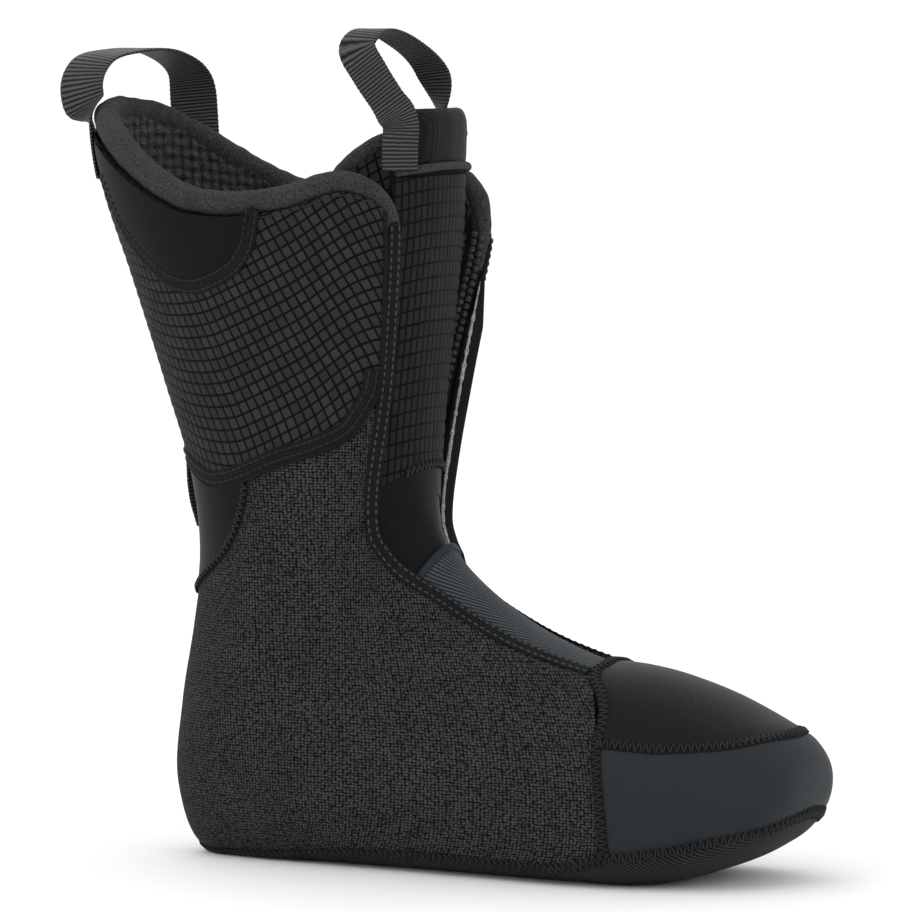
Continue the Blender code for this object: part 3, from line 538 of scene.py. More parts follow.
def swept(name, line, wide, thick, shift=0.0, rise=0.0, corner=3.0, swell=None):
    """A flat or round band along a line: its section is a rounded rectangle, in millimetres."""
    points, along, across, out = line
    turn = np.linspace(0, 2 * math.pi, SWEPT_POINTS)
    x = np.sign(np.cos(turn)) * np.abs(np.cos(turn)) ** (2 / corner) * wide / 2
    y = np.sign(np.sin(turn)) * np.abs(np.sin(turn)) ** (2 / corner) * thick / 2
    size = np.ones(len(points)) if swell is None else swell
    grid = (points[:, None] + across[:, None] * ((x[None] * size[:, None] + shift) * MM)[..., None]
            + out[:, None] * ((y[None] * size[:, None] + rise) * MM)[..., None])
    first, last = grid[:1].mean(1, keepdims=True), grid[-1:].mean(1, keepdims=True)
    grid = np.concatenate([np.repeat(first, SWEPT_POINTS, 1), grid, np.repeat(last, SWEPT_POINTS, 1)])
    girth = run_along(np.stack([x, y], 1)) * MM
    uv = np.stack(np.broadcast_arrays(girth[None, :], run_along(grid[:, 0])[:, None]), 2)
    return piece_from_grid(name, grid[:, ::-1], uv=uv[:, ::-1], wrap=True)


def threads(name, runs, radius):
    """Sewing thread: one short curve for each run of points, made round and turned into a mesh."""
    curve = bpy.data.curves.new(name, "CURVE")
    curve.dimensions = "3D"
    curve.bevel_depth = radius * MM
    curve.bevel_resolution = 1
    curve.use_fill_caps = True
    for points in runs:
        spline = curve.splines.new("POLY")
        spline.points.add(len(points) - 1)
        spline.points.foreach_set("co", np.concatenate([points, np.ones((len(points), 1))], 1).ravel())
    obj = bpy.data.objects.new(name, curve)
    bpy.context.collection.objects.link(obj)
    bpy.ops.object.select_all(action="DESELECT")
    obj.select_set(True)
    bpy.context.view_layer.objects.active = obj
    bpy.ops.object.convert(target="MESH")
    obj.data.materials.clear()
    obj.data.shade_smooth()
    return obj


def stitch_runs(line, shift, rise=0.0, length=2.3, gap=.9):
    """Runs of a lockstitch row beside a line: each stitch dips into the cloth at its ends."""
    points, along, across, out = line
    run = run_along(points) / MM
    runs = []
    for start in np.arange(.6, run[-1] - length, length + gap):
        at = start + length * np.array([0, .18, .5, .82, 1])
        p, a, o = read_at(at, run, points, across, out)
        high = np.array([-.35, .12, .22, .12, -.35]) + rise
        runs.append(p + a * shift * MM + o * (high * MM)[:, None])
    return runs


def twisted(material, place):
    """The twist of a sewing thread, as slanting bands."""
    return add(material, "ShaderNodeTexWave", {"Vector": place, "Scale": .9, "Distortion": .6},
               bands_direction="DIAGONAL").outputs["Fac"]


# Plain tape: close weave, almost black. Thread: bonded polyester with a dull shine.
TAPE = cloth_finish("binding_tape", "#050506", "#242526", .75, .01, cells(.9, .6, .25, .5), .10)
THREAD = cloth_finish("sewing_thread", "#0a0a0b", "#3a3b3d", .5, .02, twisted, .05, coordinates="Object")


STITCH_RADIUS = .34         # in millimetres


def cuff_edge(sign, up_to=444):
    """The lower edge of the cuff panel from the back to the opening, then its front edge up to the rim."""
    side = np.linspace(1.0, .285, 150)
    low = cuff_low(side)
    up = np.linspace(353, up_to, 70)
    way = np.concatenate([low, up])
    side = sign * np.concatenate([side, front_edge(up) + GRID_SETBACK])
    return route(way, side, -flare(way, side), smooth=30)


for name, sign in NAMES:
    line = cuff_edge(sign)
    low = cuff_edge(sign, up_to=364)
    tape = swept("cuff_tape_" + name, low, 7.0, 1.3, shift=-3.2 * sign, rise=.9)
    finished(tape, TAPE, "ripstop", sign)
    piping = swept("cuff_piping_" + name, line, 1.9, 1.9, shift=.6 * sign, rise=.7, corner=2.0)
    finished(piping, TAPE, "ripstop", sign)
    rows = [run for shift in (-1.6, -5.0) for run in stitch_runs(low, shift * sign, rise=1.6)]
    finished(threads("cuff_stitches_" + name, rows, STITCH_RADIUS), THREAD, "thread", sign)


# --- Front tape: the bound edges of the opening --------------------------------------------------------
# A smooth tape, sewn with two pale rows of stitches, binds the edge of the opening from the flap's top
# corner down the instep to the toe. It is cut where the flap leaves the quarter.

# Undyed polyester thread: grey stitches that show up on the black tape.
PALE_THREAD = cloth_finish("pale_thread", "#1a1a1b", "#5a5b5d", .5, .05, twisted, .05, coordinates="Object")


def opening_edge(sign, low, high, inset=.012):
    """A line beside the opening's edge, in from it by a share of the half girth."""
    way = np.linspace(low, high, int(high - low))
    side = sign * (front_edge(way) + inset)
    return route(way, side, -flare(way, side), smooth=6)


for name, sign in NAMES:
    for part, low, high, (wide, thick, rise), body in (
            ("flap", FLAP_START, 438 if sign < 0 else 430, (6.6, 2.8, -.55), sign),
            ("throat", 109, FLAP_START, (6.0, 1.0, .35), "ankle")):
        line = opening_edge(sign, low, high)
        ends = np.interp(np.linspace(0, 1, len(line[0])), [0, .96, 1], [1, 1, .5])
        tape = swept(part + "_tape_" + name, line, wide, thick, shift=-sign * .5, rise=rise, swell=ends)
        finished(tape, TAPE, "stretch_fabric", body)
        rows = [run for shift in (-1.3, 2.0)
                for run in stitch_runs(line, -sign * shift, rise=.66, length=1.9, gap=1.3)]
        finished(threads(part + "_stitches_" + name, rows, STITCH_RADIUS), PALE_THREAD, "thread", body)


# --- Rear collar panels: smooth stretch fabric each side of the heel tendon ----------------------------
# A U-shaped panel of smooth foam-backed stretch fabric under the collar on each side. A knitted tape
# with two rows of stitches holds its curved edge.

def smooth_weave(material, place):
    """A smooth face: only a faint, fine grain shows."""
    grain = add(material, "ShaderNodeTexNoise", {"Vector": place, "Scale": 1.6, "Detail": 3.0})
    return grain.outputs["Fac"]


# Foam-backed stretch fabric: smooth, blue-black, with a soft satin sheen.
STRETCH = cloth_finish("stretch_fabric", "#040507", "#0b0f13", .5, 0, smooth_weave, .04,
                       coordinates="Object")

COLLAR_LOW = [(.445, 452), (.48, 434), (.535, 425), (.615, 422), (.68, 425), (.74, 434), (.80, 448),
              (.845, 470)]


def collar_low(side):
    """The U-shaped lower edge of the rear collar panel."""
    return curve_at(side, COLLAR_LOW)


for name, sign in NAMES:
    way, side = patch(50, 90, collar_low, lambda s: np.maximum(rim_at(s) - 4.5, collar_low(s) + .5),
                      steady(.449), steady(.842), sign)
    puff = np.sqrt(np.clip((way - collar_low(folded(side))) / 9, 0, 1))
    panel = piece_from_grid("rear_collar_stretch_" + name,
                            on_form(way, side, -flare(way, side) - (1.0 + puff) * MM))
    finished(panel, STRETCH, "stretch_fabric", "cuff", "collar_panel_" + name, thick=.8)
    edge_side = np.linspace(.447, .843, 160)
    line = route(collar_low(edge_side), sign * edge_side, 0.0, spacing=1.2, smooth=6)
    tape = swept("collar_tape_" + name, line, 6.5, 1.2, shift=2.4 * sign, rise=1.3)
    finished(tape, TAPE, "ripstop", "cuff")
    rows = [run for shift in (.4, 4.6) for run in stitch_runs(line, shift * sign, rise=1.8)]
    finished(threads("collar_stitches_" + name, rows, STITCH_RADIUS), THREAD, "thread", "cuff")


# --- Collar roll: the padded rolled edge round the top -------------------------------------------------
# Brushed knit wrapped over a foam cord and sewn down on both sides. It runs from the flap's front corner
# round the back to a fat rounded end.

def brushed(material, place):
    """Short brushed pile: fine noise stretched into little hairs."""
    hairs = add(material, "ShaderNodeTexNoise", {"Vector": place, "Scale": 1.1, "Detail": 6.0,
                                                 "Roughness": .75})
    return add(material, "ShaderNodeMapRange", {0: hairs.outputs["Fac"], 1: .35, 2: .68}).outputs[0]


# Brushed polyester knit: matt and slightly mottled, with a soft grey bloom of pile.
FLEECE = cloth_finish("brushed_knit", "#070708", "#525253", .95, .08, brushed, .55, coordinates="Object",
                      patchy=.35)
rng = np.random.default_rng(7)


def lumps(count, share, length=7):
    """Small, smooth changes of thickness along a padded roll."""
    rough = rng.normal(0, 1, count + 2 * length)
    even = np.convolve(rough, np.hanning(length) / np.hanning(length).sum(), "same")[length:-length]
    return 1 + share * even


for name, sign in NAMES:
    round_the_top, down = np.linspace(1.0, .235, 150), np.linspace(448, 410, 30)
    way = np.concatenate([rim_at(round_the_top), down])
    side = sign * np.concatenate([round_the_top,
                                  front_edge(down) + .012 + .02 * np.clip((down - 425) / 25, 0, 1) ** 2])
    deep = np.interp(np.arange(len(way)), [0, 60, 140, 165, 179], [5.8, 5.4, 4.6, 3.6, 2.6]) * MM
    line = route(way, side, deep - flare(way, side), spacing=1.1, smooth=20)
    count = len(line[0])
    taper = np.interp(np.linspace(0, 1, count), [0, .3, .72, .84, .95, 1], [1, .97, .88, .78, .62, .40])
    roll = swept("collar_roll_" + name, line, 2 * ROLL, 2 * ROLL, corner=2.0, swell=taper * lumps(count, .05))
    finished(roll, FLEECE, "fleece", sign, *round_back("collar_roll", sign), name + "_flap_roll")
    way, side = way[:len(round_the_top)], side[:len(round_the_top)]
    rows = stitch_runs(route(way - 6.5, side, -flare(way, side)), 0, rise=.9)
    finished(threads("roll_stitches_" + name, rows, .32), THREAD, "thread", sign)


# --- Foam shells and honeycomb lining ------------------------------------------------------------------
# Heat-mouldable closed-cell foam, 8 mm thick, gives the boot its shape. A brushed honeycomb knit lines
# the leg, and the foam's pale cut edge shows along the inner flap.

def foam_grain(material, place):
    """The fine open skin of cut foam."""
    pores = add(material, "ShaderNodeTexVoronoi", {"Vector": place, "Scale": 1.4})
    return pores.outputs["Distance"]


# Heat-moulded foam: flat, almost black, with fine pores.
FOAM = cloth_finish("moulded_foam", "#0d0d0e", "#1c1c1e", .9, .02, foam_grain, .15, coordinates="Object")


def rounded(piece, radius):
    """Rounds the cut edges of a layer, by a radius in millimetres."""
    applied(piece, "BEVEL", width=radius * MM, segments=2, limit_method="ANGLE", angle_limit=math.radians(55))


def foam_shell(name, way, side, depth, thick, body, *replaced):
    """A foam layer from a coarse grid: thickened, its cut edges rounded, and smoothed."""
    shell = piece_from_grid(name, on_form(way, side, depth))
    applied(shell, "SOLIDIFY", thickness=thick * MM, offset=-1)
    rounded(shell, 1.4)
    applied(shell, "SUBSURF", levels=1, render_levels=1)
    finished(shell, FOAM, "foam", body, *replaced)


def height_way(side, height):
    """The way at which the form reaches this height at each side."""
    ways = np.arange(215, 400.0)
    z = on_form(ways[:, None], np.asarray(side, float).ravel()[None, :])[..., 2]
    first = np.argmax(z > height, axis=0)
    return ways[first].reshape(np.shape(side))


SKIN_DEPTH, FOAM_THICK = 1.6, 8.4   # in millimetres
JOIN = .147         # the height, in metres, at which the foot's foam ends and the cuff's begins


def join_way(side):
    """The line round the ankle where the foot's foam ends and the cuff's begins."""
    knots = np.linspace(0, 1, 6)
    return curve_at(folded(side), list(zip(knots, height_way(knots, JOIN))))


def foam_front(way):
    """The front edge of the foam, just behind the opening's edge."""
    return front_edge(way) + .006


for name, sign in NAMES:
    way, side = patch(30, 22, steady(98), join_way, foam_front, steady(1), sign)
    foam_shell("foot_foam_shell_" + name, way, side, SKIN_DEPTH * MM, FOAM_THICK, "ankle",
               "foot_foam_" + name)
    way, side = patch(24, 30, join_way, under_roll, foam_front, steady(1), sign)
    foam_shell("cuff_foam_shell_" + name, way, side, SKIN_DEPTH * MM - flare(way, side), FOAM_THICK, sign,
               *round_back("cuff_foam", sign), name + "_flap_foam")


DOT_PITCH = 5.2             # millimetres between the raised dots of the lining


def honeycomb(u, v):
    """Raised dots in a triangular pattern, from 0 to 1, at a place in millimetres."""
    k = 2 * math.pi / DOT_PITCH
    a = np.cos(k * u) + np.cos(k * (u / 2 + v * .866)) + np.cos(k * (u / 2 - v * .866))
    return np.clip((a + 1.5) / 4.5, 0, 1) ** 1.3


def honeycomb_shade(material, place):
    """Brushed pile that is dark in the hollows between the dots."""
    hexes = add(material, "ShaderNodeMapping", {"Vector": place, "Scale": (1 / 4.6,) * 3})
    web = add(material, "ShaderNodeTexVoronoi", {"Vector": hexes.outputs[0], "Scale": 1.0, "Randomness": .15})
    pile = brushed(material, place)
    level = add(material, "ShaderNodeMapRange", {0: web.outputs["Distance"], 1: .15, 2: .62, 3: 1.0, 4: .15})
    return add(material, "ShaderNodeMath", {0: pile, 1: level.outputs[0]}, operation="MULTIPLY").outputs[0]


# Honeycomb lining knit: grey tips of pile on each dot, black between them.
LINING = cloth_finish("honeycomb_lining", "#040405", "#6a6a6c", .95, .06, honeycomb_shade, .35, patchy=.3)

for name, sign in NAMES:
    way, side = patch(150, 190, steady(318), lambda s: rim_at(s) - 1.5, lambda w: front_edge(w) + .010,
                      steady(1), sign)
    base = (SKIN_DEPTH + FOAM_THICK + .2) * MM - flare(way, side)
    u, v = measured(on_form(way, side, base))
    lining = piece_from_grid("lining_" + name, on_form(way, side, base + 1.1 * MM * honeycomb(u, v)),
                             uv=np.stack([u, v], 2) * 0.001)
    applied(lining, "SOLIDIFY", thickness=.5 * MM, offset=1)
    finished(lining, LINING, "lining", sign, *round_back("cuff_lining", sign), name + "_flap_lining")

# The front edge of each flap, where the foam is cut through and its inside shows as a thin line,
# with the lining's knobbly spacer mesh beside it.
# Cut foam: undyed, so its raw edge is a pale grey.
CUT_FOAM = cloth_finish("cut_foam_edge", "#4c4d4b", "#b5b6b1", .9, .02, foam_grain, .2, coordinates="Object")
for name, sign in NAMES:
    way = np.linspace(FLAP_START + 14, 426, 150)
    side = sign * (front_edge(way) + .012)
    depth = (SKIN_DEPTH + FOAM_THICK / 2) * MM - flare(way, side)
    line = route(way, side, depth, spacing=.8)
    ends = np.interp(np.linspace(0, 1, len(line[0])), [0, .28, .95, 1], [.12, 1, 1, .6])
    edging = swept("flap_edging_" + name, line, 4.4, 8.2, corner=3.4, swell=ends)
    finished(edging, TAPE, "lining", sign)

# The inner side's foam edge stands up beside the tongue, from the flap down to the instep. A pale line
# of cut foam shows in it.
EDGE_STAND, EDGE_START = 4.6, 219       # its height in millimetres, and the way at which it rises


def standing(way):
    """How far the edge stands out of the form, in metres, before the flap's own flare."""
    return EDGE_STAND * MM * np.clip((way - EDGE_START) / 26, 0, 1) ** .7 * (1 - eased(way, *FLARE_WAYS))


for part, low, high, ends, body in (("flap", FLAP_START, 404, ([0, .8, 1], [1, 1, .2]), 1),
                                    ("throat", 221, FLAP_START + 1, ([0, .3, 1], [.3, 1, 1]), "ankle")):
    way = np.linspace(low, high, int(high - low))
    side = front_edge(way) - .004
    line = route(way, side, -standing(way) - flare(way, side), smooth=6)
    taper = np.interp(np.linspace(0, 1, len(line[0])), *ends)
    edge = swept(part + "_edge_medial", line, 3.6, 7.4, rise=-1.4, swell=taper)
    finished(edge, TAPE, "foam", body)
    cut = swept(part + "_cut_edge_medial", line, 1.4, 1.6, shift=1.8, rise=-3.0,
                swell=taper * lumps(len(taper), .35, 5))
    finished(cut, CUT_FOAM, "foam", body)

# Spacer mesh: round dark knobs, each with a faint shine.
SPACER = cloth_finish("spacer_mesh_knobs", "#050506", "#565658", .6, .02, brushed, .2, coordinates="Object")
KNOB_STEP = 4.0             # millimetres between the knobs of the spacer mesh
KNOB_PLACES = ((-.004, 5.4), (-.002, 8.4), (.016, 11.0))    # side from the edge, and depth in millimetres
for name, sign in NAMES:
    knobs = []
    for way in np.arange(FLAP_START + 22, 428, KNOB_STEP):
        for column, (inset, deep) in enumerate(KNOB_PLACES):
            at = way + KNOB_STEP / 2 * (column % 2)
            side = sign * (front_edge(at) + inset)
            place = on_form(at, side, deep * MM - flare(at, side))
            bpy.ops.object.select_all(action="DESELECT")
            bpy.ops.mesh.primitive_ico_sphere_add(subdivisions=2, radius=1.4 * MM, location=tuple(place))
            knobs.append(bpy.context.object)
    for knob in knobs:
        knob.select_set(True)
    bpy.ops.object.join()
    bpy.ops.object.transform_apply(location=True, rotation=True, scale=True)
    spacer = bpy.context.object
    spacer.name = spacer.data.name = "spacer_knobs_" + name
    spacer.data.shade_smooth()
    finished(spacer, SPACER, "lining", sign)


# --- Toe: twill top, smooth band and the foam cup inside -----------------------------------------------
# The toe box is a foam cup with a black twill top and a smooth slate band, joined by heavy zigzag seams.

def toe_chart(east, north):
    """(way, side) of points on a flat map of the toe whose middle is the toe tip and whose east is up."""
    return np.hypot(east, north), np.arctan2(north, east) / math.pi


def chart_edge(points):
    """(way, side) points as places on that map."""
    way, side = np.array(points, float).T
    return np.stack([way * np.cos(math.pi * side), way * np.sin(math.pi * side)], 1)


def spread(points, count, soft=0):
    """Points evenly spaced along a line on the toe's map, with its corners softened."""
    run = run_along(points)
    points, = read_at(np.linspace(0, run[-1], count), run, points)
    softened(points, soft)
    return points


def rear_arc(sign, count):
    """The toe band's rear edge on the toe's map."""
    side = np.linspace(.352, .640, 40)
    return spread(chart_edge(list(zip(curve_at(side, TOE_SEAM), sign * side))), count)


def between(low, high, left, right):
    """A grid that fills four edges on the toe's map (a Coons patch)."""
    a = np.linspace(0, 1, len(left))[:, None, None]
    b = np.linspace(0, 1, len(low))[None, :, None]
    corners = (1 - a) * (1 - b) * low[0] + (1 - a) * b * low[-1] + a * (1 - b) * high[0] + a * b * high[-1]
    return (1 - a) * low[None] + a * high[None] + (1 - b) * left[:, None] + b * right[:, None] - corners


def both_ways(points):
    """An edge from one side round the front to the other."""
    return [(w, -s) for w, s in points] + [(w, s) for w, s in points[::-1][1:]]


WAVE = .314                 # a wave texture of this scale repeats once a unit


def ribbed(pitch, turn, direction, wander, yarns, share, detail=1.0):
    """Raised lines of a weave, in millimetres, a little broken up by the yarns that cross them."""
    def pattern(material, place):
        leaning = add(material, "ShaderNodeMapping", {"Vector": place,
                                                      "Rotation": (0, 0, math.radians(turn))})
        lines = add(material, "ShaderNodeTexWave", {
            "Vector": leaning.outputs[0], "Scale": WAVE / pitch, "Distortion": wander,
            "Detail Scale": detail}, bands_direction=direction)
        cross = cells(*yarns, .5)(material, place)
        soft = add(material, "ShaderNodeMath", {0: cross, 1: share, 2: 1 - share}, operation="MULTIPLY_ADD")
        return add(material, "ShaderNodeMath", {0: lines.outputs["Fac"], 1: soft.outputs[0]},
                   operation="MULTIPLY").outputs[0]
    return pattern


def twill(turn, pitch=.9):
    """The slanting lines of a twill."""
    return ribbed(pitch, turn, "X", .4, (.6, .5, .15), .4)


# Nylon twill: smooth and black, with fine slanting lines and a low sheen where the toe bulges.
TOE_TWILL = cloth_finish("toe_twill", "#040405", "#202123", .5, .02, twill(38), .10)
# Coated stretch fabric: even slate grey, faintly grained.
SLATE = cloth_finish("slate_stretch_fabric", "#1d2124", "#2c3134", .55, .02, smooth_weave, .05,
                     coordinates="Object")
BAND_TOP = [(93, .35), (69, .345), (41, .29), (28, .19), (23, 0)]
BAND_LOW = [(87, .640), (45, .618), (28, .648), (17, .725), (12.5, .85), (11.2, 1)]
ALONG, ROUND = 90, 150      # points of the toe top's grid from back to front, and from side to side

rear = spread(chart_edge(both_ways([(107, .0), (107, .105), (104, .155), (93, .345)][::-1])), ROUND, 8)
front = spread(chart_edge(both_ways([(50, .31), *BAND_TOP[2:]])), ROUND, 8)
left = spread(chart_edge([(93, -.345), (69, -.345), (50, -.31)]), ALONG)
right = spread(chart_edge([(93, .345), (69, .345), (50, .31)]), ALONG)
left[0], right[0], left[-1], right[-1] = rear[0], rear[-1], front[0], front[-1]
grid = between(rear, front, left, right)
a = np.linspace(0, 1, ALONG)[:, None]
b = np.linspace(0, 1, ROUND)[None, :]
crown = np.minimum(np.minimum(a, 1 - a), np.minimum(b, 1 - b)) * 8
puff = 1.1 * np.sqrt(np.clip(crown, 0, 1))
toe_top = piece_from_grid("toe_top", on_form(*toe_chart(grid[..., 0], grid[..., 1]), (-.1 - puff) * MM)[::-1])
finished(toe_top, TOE_TWILL, "stretch_fabric", "foot", "toe_cap_top", thick=1.2)

low = spread(chart_edge(both_ways(BAND_LOW)), ROUND, 6)
high = spread(chart_edge(both_ways([(93, .352), *BAND_TOP[1:]])), ROUND, 6)
left, right = rear_arc(-1, 60)[::-1], rear_arc(1, 60)[::-1]
grid = between(low, high, left, right)
edge = np.minimum(np.linspace(0, 1, 60), np.linspace(1, 0, 60))[:, None] * np.ones((1, ROUND))
puff = .5 * np.sqrt(np.clip(edge * 8, 0, 1))
toe_band = piece_from_grid("toe_side_band", on_form(*toe_chart(grid[..., 0], grid[..., 1]), (.1 - puff) * MM))
finished(toe_band, SLATE, "slate_fabric", "foot", "toe_band", thick=1.1)


def disc(count):
    """A square grid squeezed into a round disc of radius 1."""
    x, y = np.meshgrid(np.linspace(-1, 1, count), np.linspace(-1, 1, count))
    return x * np.sqrt(1 - y * y / 2), y * np.sqrt(1 - x * x / 2)


east, north = disc(30)
way, side = toe_chart(97 * east, 97 * north)
foam_shell("toe_foam_cup", way[::-1], side[::-1], SKIN_DEPTH * MM, FOAM_THICK, "foot", "toe_foam")


def zigzag(line, wide, pitch, shift=0.0, rise=.3):
    """One run of thread that crosses a seam from side to side."""
    points, along, across, out = line
    run = run_along(points) / MM
    at = np.arange(0, run[-1], pitch / 4)
    p, a, o = read_at(at, run, points, across, out)
    step = np.arange(len(at)) % 4
    sway = np.array([-1, 0, 1, 0])[step] * wide / 2 + shift
    high = np.array([-.25, .35, -.25, .35])[step] + rise
    return p + a * (sway * MM)[:, None] + o * (high * MM)[:, None]


def zigzag_seam(name, body, way, side, wide=4.2, rise=.95, depth=0.0, ridge=1.6):
    """A zigzag seam with the low ridge of the turned edge under it."""
    line = route(way, side, depth, smooth=4)
    finished(swept(name + "_ridge", line, wide + .6, ridge, corner=2.2), TAPE, "thread", body)
    finished(threads(name + "_thread", [zigzag(line, wide, 2.8, rise=rise)], .45), THREAD, "thread", body)


def chart_route(points, count=200, soft=6):
    """An even (way, side) line through points of the toe, with its corners softened on the map."""
    grid = spread(chart_edge(points), count, soft)
    way, side = toe_chart(grid[:, 0], grid[:, 1])
    return way, np.unwrap(side, period=2)


for seam_name, points in (("toe_top_seam", both_ways([(93, .35), *BAND_TOP[1:]])),
                          ("instep_seam", both_ways([(93, .35), (104, .155), (107, .105), (107, 0)]))):
    zigzag_seam(seam_name, "foot", *chart_route(points))
for name, sign in NAMES:
    side = np.linspace(.35, .640, 120)
    zigzag_seam("toe_rear_seam_" + name, "foot", curve_at(side, TOE_SEAM), sign * side)


# --- Sole: twill bottom with an overlocked seam all round ----------------------------------------------
# The sole is a shallow dish of diagonal twill, sprung up at the toe. A bead of overlock stitching joins
# it to the upper.

# Hard-wearing polyester twill: its lines are drawn at 1.5 mm, coarser than the real ones, to show.
SOLE_TWILL = cloth_finish("sole_twill", "#040405", "#3a3b3d", .7, .02, twill(52, 1.5), .18)


def close_ends(count):
    """Shares from 0 to 1 that lie closer together near both ends."""
    return 0.5 - 0.5 * np.cos(np.linspace(0, math.pi, count))


def across_sole(way, low, columns):
    """A grid of (way, side) across the sole, from its edge on one side to the other."""
    side = low[:, None] + (2 - 2 * low[:, None]) * close_ends(columns)[None, :]
    return np.repeat(way[:, None], columns, 1), side


way = TOE_WAY + (HEEL_WAY - TOE_WAY) * close_ends(200)
way, side = across_sole(way, np.minimum(curve_at(way, SOLE_EDGE), .995), 90)
sole = piece_from_grid("sole_twill_panel", on_form(way, side))
finished(sole, SOLE_TWILL, "sole_twill", "foot", "sole_panel", thick=1.1)

way = SOLE_EDGE[0][0] + (SOLE_EDGE[-1][0] - SOLE_EDGE[0][0]) * close_ends(220)
side = curve_at(way, SOLE_EDGE)
way, side = np.concatenate([way, way[::-1][1:]]), np.concatenate([side, 2 - side[::-1][1:]])
line = route(way, side, 0.3 * MM, smooth=4)
finished(swept("sole_seam_bead", line, 3.0, 2.0, corner=2.0), TAPE, "thread", "foot", "sole_seam")
overlock = threads("sole_seam_thread", [zigzag(line, 5.4, 3.0, shift=-.6, rise=.9)], .5)
finished(overlock, THREAD, "thread", "foot")

# The loose footbed inside: pressed felt over thin foam, grey and matt.
FELT = cloth_finish("pressed_felt", "#232325", "#3d3d40", .95, .2, brushed, .2, coordinates="Object")
way = np.linspace(34, 228, 60)
way, side = across_sole(way, np.minimum(curve_at(way, SOLE_EDGE) + .055, .985), 30)
bed = piece_from_grid("felt_footbed", on_form(way, side, 11.2 * MM))
applied(bed, "SOLIDIFY", thickness=2.8 * MM, offset=-1)
rounded(bed, .8)
finished(bed, FELT, "footbed", "foot", "footbed")

# Moulded pads beside the ankle bones: small foam discs under the lining, crowned towards the ankle.
for name, sign in NAMES:
    x, y = disc(14)
    way, side = 232.5 + 17 * y, sign * .565 + .062 * x
    swell = 1.6 * MM * np.sqrt(np.clip(1 - x**2 - y**2, 0, 1))
    pad = piece_from_grid("ankle_bone_pad_" + name, on_form(way, side, 10.9 * MM + swell))
    applied(pad, "SOLIDIFY", thickness=2.0 * MM, offset=-1)
    applied(pad, "SUBSURF", levels=1, render_levels=1)
    finished(pad, FOAM, "foam", "foot", "ankle_pad_" + name)


# --- Heel: the stretch panel over the tendon and its webbing tab ---------------------------------------
# Smooth stretch fabric behind the ankle, edged with a zigzag seam, and a short tab of ribbed webbing
# that bows out from its middle.

HEEL_LOW = [(.62, 345), (.645, 335), (.68, 328), (.73, 324), (1, 322)]


def heel_low(side):
    """The rounded lower edge of the tendon panel."""
    return curve_at(folded(side), HEEL_LOW)


way, side = patch(60, 150, heel_low, lambda s: cuff_low(s) + 2, steady(.62), steady(1.38))
tendon = piece_from_grid("tendon_panel", on_form(way, side, -.75 * MM))
finished(tendon, STRETCH, "stretch_fabric", "ankle", "achilles_panel", thick=.8)
side = np.linspace(.62, 1.38, 240)
zigzag_seam("tendon_seam", "ankle", heel_low(side), side, wide=3.0, rise=1.35, ridge=1.2)


def ribs(pitch, turn=0.0):
    """The raised ribs of a woven band."""
    return ribbed(pitch, turn, "Y", .8, (.8, .45, .2), .45, detail=2.0)


# Polyester webbing: dark grey, ribbed, with a slight shine on its crossing yarns.
WEBBING = cloth_finish("ribbed_webbing", "#080809", "#5e6062", .5, .02, ribs(1.6), .40)


def webbing(name, points, across, width, thick):
    """A flat webbing strap along a path, with its width along the given directions."""
    run = run_along(points)
    points, across = read_at(np.linspace(0, run[-1], int(run[-1] / (.7 * MM))), run, points, across)
    softened(points, 12)
    softened(across, 12)
    along = unit(np.gradient(points, axis=0))
    across = unit(across - (across * along).sum(1, keepdims=True) * along)
    woven = 1 + .012 * np.cos(2 * math.pi * np.arange(len(points)) * .7 / 2.1)
    line = points, along, across, np.cross(along, across)
    strap = swept(name, line, width, thick, corner=5.0, swell=woven)
    strap.data.materials.append(WEBBING)
    return strap


tab = np.array([(345, -.9), (348, -1.8), (354, -3.3), (361, -3.2), (367, -2.0), (372, -1.0)])
path = on_form(tab[:, 0], 1.0, tab[:, 1] * MM)
heel_tab = webbing("tendon_webbing_tab", path, np.tile((0, 1.0, 0), (len(path), 1)), 18, 1.4)
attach(heel_tab, "cuff")
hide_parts("achilles_webbing")


# --- Instep: elastic gusset, its foam pad and the stretch panel above ----------------------------------
# Ribbed slate elastic closes the opening over the instep so that the boot stretches on. Its top edge is
# bound, and a smooth stretch panel joins it to the foot of the tongue.

def both_edges(inset, edge=front_edge):
    """Side edges of a piece that lies across the opening, this far beyond the opening's own edges."""
    return lambda way: -edge(way) - inset, lambda way: edge(way) + inset


# Woven elastic: slate ribs with dark lines between them.
ELASTIC = cloth_finish("ribbed_elastic", "#14181b", "#555c61", .6, .02, ribs(1.5, turn=62), .30)
GUSSET_TOP, TONGUE_LOW = 229, 276   # ways along the front

way, side = patch(200, 60, steady(107), steady(GUSSET_TOP), *both_edges(.006))
belly = 1.2 * np.clip(1 - (side / (front_edge(way) + .006)) ** 2, 0, 1)
gusset = piece_from_grid("elastic_gusset", on_form(way, side, (2.4 - belly) * MM))
finished(gusset, ELASTIC, "slate_fabric", "foot", "instep_gusset", thick=1.0)
side = np.linspace(-.122, .122, 60)
arc = np.cos(side / .122 * math.pi / 2)
line = route(GUSSET_TOP + 3 * arc, side, (2.3 - 1.3 * arc) * MM)
binding = swept("gusset_binding", line, 3.2, 1.9, corner=2.5)
finished(binding, SLATE, "slate_fabric", "foot")

way, side = patch(14, 6, steady(99), steady(234), *both_edges(-.002))
foam_shell("instep_foam_pad", way, side, 4.6 * MM, 4.0, "foot", "instep_pad")

